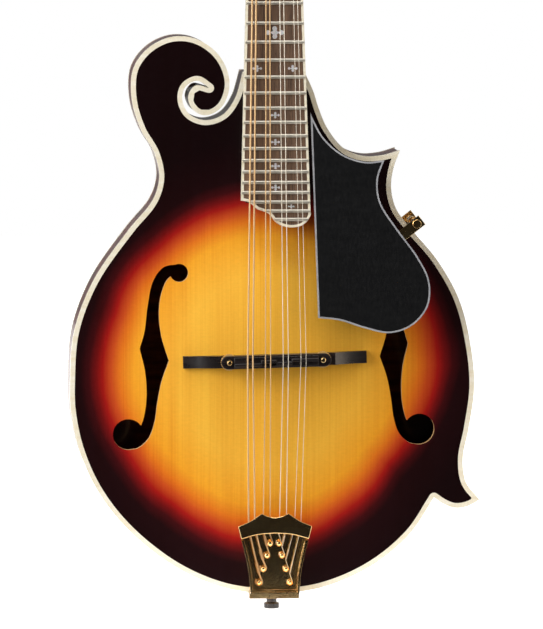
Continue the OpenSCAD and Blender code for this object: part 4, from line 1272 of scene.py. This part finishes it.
@dataclass
class Neck:
    """The neck with its heel, the head with its overlay, and the fingerboard."""

    bench: Bench
    lip: float = 2.0
    bushing_hole: float = 3.95
    cut_half: float = 50.0
    cut_low: float = -30.0
    binding_start: float = 1.2
    binding_low: float = -3.0
    pocket: tuple[float, float, float] = (4.5, -1, 19)
    head_turn: tuple = (3.5, 14.2, 13.8, 13.8, 6.5)
    head_sink: float = -0.02
    tongue_start: float = -168.0
    tongue_inset: float = 3.0
    tongue_low: float = -6.2
    tongue_tip: tuple = ((-13.5, -1), (-10.6, -3.2), (-6, -5), (-2, -9.5), (3.5, -12),
                         (11, -12.8), (16, -10.8), (18.4, -8))
    heel_stations: tuple = ((-178, 54, 19.2, 13.5, 4.0), (-173, 53, 19, 13.5, 4.0),
                            (-168, 43, 18.8, 14.5, 3.4), (-161, 31, 18.6, 16, 2.9),
                            (-152, 22.5, 18.3, 17, 2.5), (-138, 18, 17.9, 17.5, 2.3),
                            (-110, 16.2, 17.1, 17.1, 2.2), (-60, 15, 15.7, 15.7, 2.2),
                            (-26, 14.4, 14.8, 14.8, 2.3), (-10, 14.2, 14.3, 14.3, 3.4),
                            (-1, 14.2, 14, 14, 5.5))
    head_stations: tuple = ((0.5, 14.1, 13.2, 13.2, 7.0), (5, 13.9, 12.6, 12.6, 8.0),
                            (10, 13.6, 12.4, 12.4, 8.0))
    head_low: tuple = ((14, -2), (15.5, 5), (20, 11), (29, 15), (34.5, 22), (35.5, 36),
                       (36.5, 62), (38, 92), (39, 112), (44, 124))
    head_top: tuple = ((44, 124), (35, 128), (28, 136), (22, 148), (10, 156), (-6, 161),
                       (-22, 162), (-36, 156), (-43, 144), (-41, 132), (-33, 127.5),
                       (-27, 132), (-28, 139))
    head_curl: tuple = ((-28, 139), (-22.5, 131), (-28, 122.5), (-39, 118))
    head_bass: tuple = ((-39, 118), (-38.2, 100), (-36.5, 62), (-35.5, 36), (-34.5, 22),
                        (-29, 15), (-20, 11), (-15.5, 5), (-14, -2))

    def head_outline(self) -> Loop:
        """Returns the head's outline."""
        curves = (self.head_low, self.head_top, self.head_curl, self.head_bass)
        points = [p for curve in curves for p in smooth(curve)]
        return Loop(np.array(points + [[-14, -2]])).spaced(1.2)

    def ring(self, place: Matrix, depth: float, top: float, low: float,
             power: float) -> np.ndarray:
        """Makes one cross-section of the neck, flat above and round below.

        Args:
            place: Its frame on the bench.
            depth: Its depth.
            top: Half of its width at the flat side.
            low: Half of its width near the round side.
            power: Fullness of the round side; 2 is an ellipse.

        Returns:
            Its points on the bench.
        """
        flat = np.linspace(top, -top, 9)
        turn = np.linspace(math.pi, 2 * math.pi, 29)[1:-1]
        fall = np.abs(np.sin(turn)) ** (2 / power)
        reach = top + (low - top) * fall
        across = np.sign(np.cos(turn)) * np.abs(np.cos(turn)) ** (2 / power) * reach
        x = np.concatenate([flat, across])
        z = np.concatenate([np.zeros(9), -depth * fall])
        points = np.column_stack([x, np.zeros(len(x)), z])
        m = np.array(place)
        return points @ m[:3, :3].T + m[:3, 3]

    def shaft(self) -> Shape:
        """Returns the neck from its heel to the head, in one smooth body."""
        shift = Matrix.Translation
        rings = [self.ring(NECK @ shift((0, y, 0)), *rest)
                 for y, *rest in smooth(self.heel_stations, 6)]
        y, *rest = self.head_turn
        rings.append(self.ring(NECK @ shift((0, y, 0)), *rest))
        rings += [self.ring(HEAD @ shift((0, y, self.head_sink)), *rest)
                  for y, *rest in smooth(self.head_stations, 4)]
        shape = skin(rings)
        return Shape(shape.points, [f[::-1] for f in shape.faces])

    def build(self) -> None:
        """Builds the neck and head, and dresses the fingerboard."""
        wood = Finishes.NECK.value
        outline = self.head_outline()
        bores = [Loop.circle(SIZES.post(i), self.bushing_hole) for i in range(8)]
        inner = outline.inset(self.lip + SIZES.gap)
        head = slab(inner, bores, -SIZES.head_t, 0.0).turned(HEAD)
        obj = bpy.data.objects.new("carved_neck", self.shaft().mesh("carved_neck", BENCH))
        bpy.context.scene.collection.objects.link(obj)
        self.trim(obj.data)
        self.bench.melt(obj, head.mesh("head_slab", BENCH))
        obj.data.materials.append(wood.material())
        self.bench.mounted(obj, "instrument", "maple", ["neck"], 0.5)
        self.tongue()
        below = Loop.box(self.cut_half, self.cut_low, SIZES.gap)
        overlay = slab(inner, [below, Loop.box(*self.pocket), *bores], SIZES.gap,
                       SIZES.overlay_t)
        self.bench.piece("head_veneer", overlay, HEAD, "instrument", "black_plastic",
                         [Finishes.LACQUER.value], ["head_overlay"], ease=0.15)
        start = Loop.box(self.cut_half, self.cut_low, self.binding_start)
        band = slab(outline, [outline.inset(self.lip), start], self.binding_low,
                    SIZES.overlay_t)
        self.bench.piece("head_binding_strip", band, HEAD, "instrument", "ivory_plastic",
                         [Finishes.IVORY.value], ["head_binding"], ease=0.4)
        self.bench.eased("truss_rod_cover", "rod_cover", "instrument", "black_plastic",
                         Finishes.GUARD.value, 0.3)
        self.bench.dressed(Finishes.STEEL.value, "truss_rod")
        self.bench.dressed(Finishes.BOARD.value, "fingerboard")
        self.bench.dressed(Finishes.IVORY.value, "fingerboard_binding")
        self.bench.eased("frets", "fret_wires", "instrument", "nickel_wire",
                         Finishes.FRET.value, 0.4)
        self.bench.dressed(Finishes.PEARL.value, "inlays")
        self.bench.dressed(Finishes.BONE.value, "nut")

    def trim(self, mesh: bpy.types.Mesh) -> None:
        """Cuts the heel flush with the back.

        Args:
            mesh: Mesh of the neck's shaft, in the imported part's frame.
        """
        form = bmesh.new()
        form.from_mesh(mesh)
        cut = bmesh.ops.bisect_plane(
            form, geom=form.verts[:] + form.edges[:] + form.faces[:],
            plane_co=(0, -SIZES.back_z * MM, 0), plane_no=(0, 1, 0), clear_outer=True)
        edges = [e for e in cut["geom_cut"] if isinstance(e, bmesh.types.BMEdge)]
        bmesh.ops.contextual_create(form, geom=edges)
        bmesh.ops.recalc_face_normals(form, faces=form.faces)
        form.to_mesh(mesh)
        form.free()

    def tongue(self) -> None:
        """Builds the thin tongue that carries the fingerboard over the top."""
        start, end = self.tongue_start, -SIZES.board_end
        half = SIZES.half_board(start) - self.tongue_inset
        points = [(half, start), (-half, start),
                  (-SIZES.half_board(end) + self.tongue_inset, end)]
        points += [(x, y + end) for x, y in smooth(self.tongue_tip, 4)]
        points.append((self.tongue_tip[-1][0], end + self.tongue_tip[-1][1]))
        tongue = slab(Loop(np.array(points)), [], self.tongue_low, 0.0)
        self.bench.piece("neck_tongue", tongue, NECK, "instrument", "maple",
                         [Finishes.LACQUER.value], ease=0.4)


@dataclass
class Bridge:
    """The foot, studs, thumb wheels and saddle."""

    bench: Bench
    ease: float = 0.45

    def build(self) -> None:
        """Stands eased pieces in for the bridge's nodes."""
        ebony, gold = Finishes.EBONY.value, Finishes.GOLD.value
        self.bench.eased("bridge_foot", "foot_bar", "instrument", "ebony", ebony, self.ease)
        self.bench.eased("bridge_saddle", "saddle_bar", "saddle", "ebony", ebony, 0.25)
        self.bench.eased("bridge_studs", "adjusting_studs", "instrument", "gold_plate", gold,
                         0.3)
        for side in ("bass", "treble"):
            self.bench.eased(f"thumb_wheel_{side}", f"knurled_wheel_{side}", f"wheel_{side}",
                             "gold_plate", Finishes.KNURL.value, 0.12)


@dataclass
class Tailpiece:
    """The stamped plate with its hooks, its cover, and the end pin."""

    bench: Bench
    hooks: tuple = ((9.6, 8.5), (7.1, 17), (4.7, 25.5), (2.8, 33))
    hook_lean: float = 20.0
    hook_l: float = 4.5
    hook_lift: float = 1.0
    knob: tuple = ((1.1, -0.9), (1.55, -0.75), (1.75, -0.3), (1.7, 0.15), (1.35, 0.55),
                   (0.7, 0.78), (0.1, 0.85))

    def knobs(self) -> Shape:
        """Returns the rounded ends of the eight hooks, in the tailpiece's frame."""
        shape = None
        for side in (-1, 1):
            for x, y in self.hooks:
                place = (Matrix.Translation((side * x, y, SIZES.tail_plate_z + self.hook_lift))
                         @ Matrix.Rotation(math.radians(self.hook_lean), 4, "X")
                         @ Matrix.Translation((0, 0, self.hook_l)))
                knob = lathe(self.knob).turned(place)
                shape = knob if shape is None else shape.joined(knob)
        return shape

    def build(self) -> None:
        """Stands eased pieces in for the tailpiece's nodes."""
        gold = Finishes.GOLD.value
        self.bench.eased("tailpiece_base", "tailpiece_plate", "instrument", "gold_plate", gold,
                         0.2, self.knobs(), TAIL)
        self.bench.eased("tailpiece_cover", "tailpiece_crown", "instrument", "gold_plate",
                         gold, 0.4)
        self.bench.eased("end_pin", "turned_pin", "instrument", "dark_plastic",
                         Finishes.PIN.value, 0.5)


@dataclass
class Guard:
    """The raised guard with its light line and its side clamp."""

    bench: Bench
    level: float = 1.8
    thick: float = 2.4
    line: float = 1.0
    board_gap: float = 2.2
    inner: tuple = ((21.5, 152), (30, 136.5), (42, 126), (56, 121.5), (67.5, 122.5))
    outer: tuple = ((67.5, 122.5), (63.5, 110.5), (65, 96.5), (76, 79), (88, 62.5),
                    (95, 47.5), (94, 32), (84, 20), (70, 15.5), (55, 18.5), (39, 23.5),
                    (26, 25))

    def outline(self) -> Loop:
        """Returns the guard's outline in the neck's frame, beside the fingerboard."""
        points = smooth(self.inner) + smooth(self.outer) + [self.outer[-1]]
        moved = [(max(x, SIZES.half_board(SIZES.saddle_y + y) + self.board_gap),
                  SIZES.saddle_y + y) for x, y in points]
        return Loop(np.array(moved))

    def build(self) -> None:
        """Builds the guard, its line and the clamp."""
        outline = self.outline()
        low, high = self.level, self.level + self.thick
        self.bench.piece("guard_plate", slab(outline.inset(self.line + SIZES.gap), [], low, high),
                         NECK, "instrument", "black_plastic", [Finishes.GUARD.value],
                         ["pickguard"])
        self.bench.piece("guard_line", slab(outline, [outline.inset(self.line)], low, high),
                         NECK, "instrument", "grey_line", [Finishes.LINE.value],
                         ["pickguard_binding"], ease=0.25)
        self.bench.eased("pickguard_bracket", "guard_clamp", "instrument", "gold_plate",
                         Finishes.GOLD.value, 0.4)


@dataclass
class Strings:
    """The four double courses, from their loops on the tailpiece to the posts."""

    bench: Bench
    sizes: tuple = (1.02, 0.66, 0.41, 0.28)
    saddle_span: float = 36.2
    saddle_pair: float = 3.2
    nut_span: float = 23.4
    nut_pair: float = 2.0
    rest_x: tuple = (16.2, 12.3, 7.2, 2.9)
    rest_y: float = 41.0
    hook_r: float = 1.1
    saddle_steps: tuple = (-1.6, 0.2, -1.2, 0.6)
    wraps: int = 2
    wrap_steps: int = 24
    slack: float = 0.3
    loop_gap: float = 0.35
    loop_back: float = 0.8
    loop_high: float = 3.1
    loop_angles: tuple[float, float, int] = (140, 400, 22)
    start_off: tuple[float, float] = (4.2, 0.1)
    rest_high: float = 6.0
    nut_high: float = 0.7
    wrap_high: float = 9.0
    wrap_gap: float = 0.12
    wrap_start: float = -10.0
    twist_turns: int = 8
    twist_points: int = 110
    twist_r: float = 0.26
    twist_start: float = 0.4
    twist_l: float = 6.5
    twist_reach: float = 0.8

    @staticmethod
    def across(i: int, span: float, pair: float) -> float:
        """Places a string across the instrument.

        Args:
            i: Number of the string.
            span: Distance between the outer strings.
            pair: Distance between the strings of a course.

        Returns:
            Its distance from the centreline.
        """
        course, odd = divmod(i, 2)
        return -(span - pair) / 2 + course * (span - pair) / 3 + (pair if odd else -pair) / 2

    def path(self, i: int, hook: tuple[float, float]) -> tuple[np.ndarray, np.ndarray]:
        """Lays one string from its hook to its post.

        Args:
            i: Number of the string.
            hook: Place of its hook beside the centreline and along the tailpiece.

        Returns:
            The string's points, and both ends of its first straight.
        """
        r = self.sizes[i // 2] / 2
        side = -1 if i < 4 else 1
        y0, z0 = SIZES.saddle_y + SIZES.tail, SIZES.tail_plate_z + self.loop_high + r
        reach = self.hook_r + r + self.loop_gap
        loop = [(side * hook[0] + reach * math.cos(a),
                 y0 + hook[1] - self.loop_back + reach * math.sin(a), z0)
                for a in np.radians(np.linspace(*self.loop_angles))]
        start = (side * hook[0], y0 + hook[1] + self.start_off[0], z0 + self.start_off[1])
        guide = (side * self.rest_x[SIZES.row(i)], y0 + self.rest_y,
                 SIZES.tail_plate_z + self.rest_high + r)
        x = self.across(i, self.saddle_span, self.saddle_pair)
        turn = math.tan(math.radians(SIZES.bridge_roll))
        saddle = (x, SIZES.saddle_y + x * turn + self.saddle_steps[i // 2], SIZES.saddle_z + r)
        nut = [NECK @ Vector((self.across(i, self.nut_span, self.nut_pair), y,
                              SIZES.board_t + SIZES.fret_h + self.nut_high + r))
               for y in (0, SIZES.nut_l + self.slack)]
        px, ph = SIZES.post(i)
        wr = SIZES.post_r + r + self.slack
        wind = []
        for k in range(self.wraps * self.wrap_steps + 1):
            begin = self.wrap_start if side < 0 else 180 - self.wrap_start
            a = math.radians(begin - side * 360 * k / self.wrap_steps)
            high = (SIZES.overlay_t + self.wrap_high
                    - (2 * r + self.wrap_gap) * k / self.wrap_steps)
            wind.append(HEAD @ Vector((px + wr * math.cos(a), ph + wr * math.sin(a), high)))
        points = [*loop, start, guide, saddle, *[tuple(p) for p in nut + wind]]
        return np.array(points), np.array([start, guide])

    def twist(self, straight: np.ndarray, r: float) -> Shape:
        """Winds the string's own end round it above the loop.

        Args:
            straight: Both ends of the string's first straight.
            r: Radius of the string.

        Returns:
            The wound end.
        """
        ahead = straight[1] - straight[0]
        ahead /= np.linalg.norm(ahead)
        side = np.cross(ahead, [0, 0, 1.0])
        side /= np.linalg.norm(side)
        up = np.cross(ahead, side)
        thin = min(r, self.twist_r)
        t = np.linspace(0, 1, self.twist_points)[:, None]
        turn = t * 2 * math.pi * self.twist_turns
        out = r + thin * self.twist_reach
        path = (straight[0] + ahead * (self.twist_start + self.twist_l * t)
                + out * (np.cos(turn) * side + np.sin(turn) * up))
        return tube(path, thin, 6)

    def build(self, hooks: Sequence[tuple[float, float]]) -> None:
        """Builds the wound and the plain strings.

        Args:
            hooks: Places of one side's hooks on the tailpiece, from the tail up.
        """
        for name, node, slot, finish, which in (
                ("wound_strings", "g_and_d_strings", "bronze_wound", Finishes.WOUND, range(4)),
                ("plain_strings", "a_and_e_strings", "plain_steel", Finishes.PLAIN,
                 range(4, 8))):
            shape = None
            for i in which:
                r = self.sizes[i // 2] / 2
                path, straight = self.path(i, hooks[SIZES.row(i)])
                string = tube(path, r, 12).joined(self.twist(straight, r))
                shape = string if shape is None else shape.joined(string)
            self.bench.piece(name, shape, BENCH, "instrument", slot, [finish.value], [node])


@dataclass
class Tuners:
    """Two four-gang machine heads."""

    bench: Bench
    button_x: float = 50.0
    shaft_off: float = 7.3
    shaft_w: float = -18.65
    profile: tuple = ((-4.6, 1.8, 1.8), (-4.1, 2.5, 2.3), (-3.0, 4.3, 2.9), (-1.4, 6.3, 3.4),
                      (0.6, 7.0, 3.66), (2.4, 6.5, 3.4), (3.7, 4.8, 2.6), (4.4, 2.6, 1.4),
                      (4.6, 0.8, 0.4))

    def button(self) -> Shape:
        """Returns one button with its shaft side towards -x."""
        turn = np.linspace(0, 2 * math.pi, 32, endpoint=False)
        rings = [np.column_stack([np.full(32, x), ry * np.cos(turn), rz * np.sin(turn)])
                 for x, ry, rz in smooth(self.profile, 4) + [list(self.profile[-1])]]
        return skin(rings)

    def build(self) -> None:
        """Builds the buttons and dresses the metal work."""
        gold = Finishes.GOLD.value
        self.bench.eased("tuner_plates", "machine_plates", "instrument", "gold_plate", gold,
                         0.15)
        self.bench.dressed(gold, "post_bushings")
        for i in range(8):
            side = -1 if i < 4 else 1
            place = (HEAD @ Matrix.Translation((side * self.button_x,
                                                SIZES.post(i)[1] + self.shaft_off,
                                                self.shaft_w))
                     @ Matrix.Rotation(0 if side > 0 else math.pi, 4, "Y"))
            self.bench.piece(f"button_{i + 1}", self.button(), place, f"knob_{i + 1}", "pearl",
                             [Finishes.BUTTON.value], [f"tuner_button_{i + 1}"])
            self.bench.dressed(gold, f"tuner_post_{i + 1}", f"tuner_shaft_{i + 1}")


# ---------------------------------------------------------------------------------------------
# Studio
# ---------------------------------------------------------------------------------------------

@dataclass(frozen=True)
class Softbox:
    """A soft rectangular light, in metres and watts."""

    place: tuple[float, float, float]
    width: float
    height: float
    watts: float
    colour: Colour


@dataclass
class Studio:
    """Floor, surroundings, lights and camera, in metres."""

    aim: tuple[float, float, float] = (-0.0014, -0.008, -0.3231)
    distance: float = 4.6
    azimuth: float = -3.6
    elevation: float = 4.0
    view_width: float = 0.3372
    far: float = 4.0
    front: float = -0.09
    front_room: tuple[float, float, float, float] = (-0.84, -0.3, 0.015, 0.6)
    back_room: tuple[float, float, float, float] = (0.2, 0.85, 0.0, 0.42)
    under: float = 0.004
    lights: tuple[Softbox, ...] = (
        Softbox((-1.75, -1.05, 0.35), 1.2, 1.8, 49.0, (1.0, 0.98, 0.95)),
        Softbox((1.85, -0.95, 0.1), 0.9, 1.6, 14.0, (1.0, 0.82, 0.62)),
        Softbox((-0.1, -0.75, 1.5), 1.2, 0.5, 10.0, (1.0, 1.0, 1.0)),
        Softbox((-1.1, 1.7, 0.9), 1.2, 1.2, 14.0, (1.0, 0.99, 0.97)),
        Softbox((1.4, 1.5, 0.3), 0.9, 1.2, 8.0, (1.0, 0.99, 0.98)))

    def build(self) -> None:
        """Sets up the floor, the light and the camera."""
        self.floor(min(corner[2] for corner in CAD_BOX) - self.under)
        for number, light in enumerate(self.lights):
            self.hang(number, light)
        self.surround()
        bpy.context.scene.view_settings.view_transform = "Standard"
        self.camera()

    def surround(self) -> None:
        """Sets a pale room that is dark where it faces the front of the instrument."""
        world = bpy.data.worlds.new("studio")
        world.use_nodes = True
        r = Recipe("surround", world)
        facing = r.node("ShaderNodeSeparateXYZ", {},
                        {0: r.node("ShaderNodeTexCoord", {}, {}, "Generated")}, "Y")
        room = r.span(facing, *self.front_room) - r.span(facing, *self.back_room)
        seen = r.node("ShaderNodeLightPath", {}, {}, "Is Camera Ray")
        light = room + seen * (1.0 - room)
        world.node_tree.links.new(light.socket, r.shader.inputs["Strength"])
        r.shader.inputs["Color"].default_value = (1, 1, 1, 1)
        bpy.context.scene.world = world

    def floor(self, level: float) -> None:
        """Builds the floor under the instrument.

        Args:
            level: Its height.
        """
        points = [(x, y, level) for x in (-self.far, self.far) for y in (self.front, self.far)]
        mesh = bpy.data.meshes.new("studio_floor")
        mesh.from_pydata(points, [], [(0, 2, 3, 1)])
        mesh.materials.append(PaleFloor("pale_floor").material())
        obj = bpy.data.objects.new("studio_floor", mesh)
        bpy.context.scene.collection.objects.link(obj)

    def hang(self, number: int, box: Softbox) -> None:
        """Hangs one soft light that faces the instrument.

        Args:
            number: Number of the light.
            box: Its place, size, power and colour.
        """
        light = bpy.data.lights.new(f"softbox_{number}", "AREA")
        light.shape, light.size, light.size_y = "RECTANGLE", box.width, box.height
        light.energy, light.color = box.watts, box.colour
        obj = bpy.data.objects.new(light.name, light)
        obj.location = box.place
        ahead = Vector(self.aim) - Vector(box.place)
        obj.rotation_euler = ahead.to_track_quat("-Z", "Y").to_euler()
        bpy.context.scene.collection.objects.link(obj)

    def camera(self) -> None:
        """Sets up the camera at the viewing angle."""
        turn, rise = math.radians(self.azimuth), math.radians(self.elevation)
        back = Vector((math.sin(turn) * math.cos(rise), -math.cos(turn) * math.cos(rise),
                       math.sin(rise)))
        data = bpy.data.cameras.new("camera")
        data.sensor_fit = "HORIZONTAL"
        data.lens = data.sensor_width * self.distance / self.view_width
        obj = bpy.data.objects.new("camera", data)
        obj.location = Vector(self.aim) + back * self.distance
        obj.rotation_euler = (-back).to_track_quat("-Z", "Y").to_euler()
        bpy.context.scene.collection.objects.link(obj)
        bpy.context.scene.camera = obj


def main() -> None:
    """Builds the studio and the instrument, in order."""
    logging.basicConfig(level=logging.INFO, format="%(name)s: %(message)s")
    bench = Bench()
    Studio().build()
    Body(bench).build()
    Neck(bench).build()
    Bridge(bench).build()
    tailpiece = Tailpiece(bench)
    tailpiece.build()
    Guard(bench).build()
    Strings(bench).build(tailpiece.hooks)
    Tuners(bench).build()


if __name__ == "__main__":
    main()
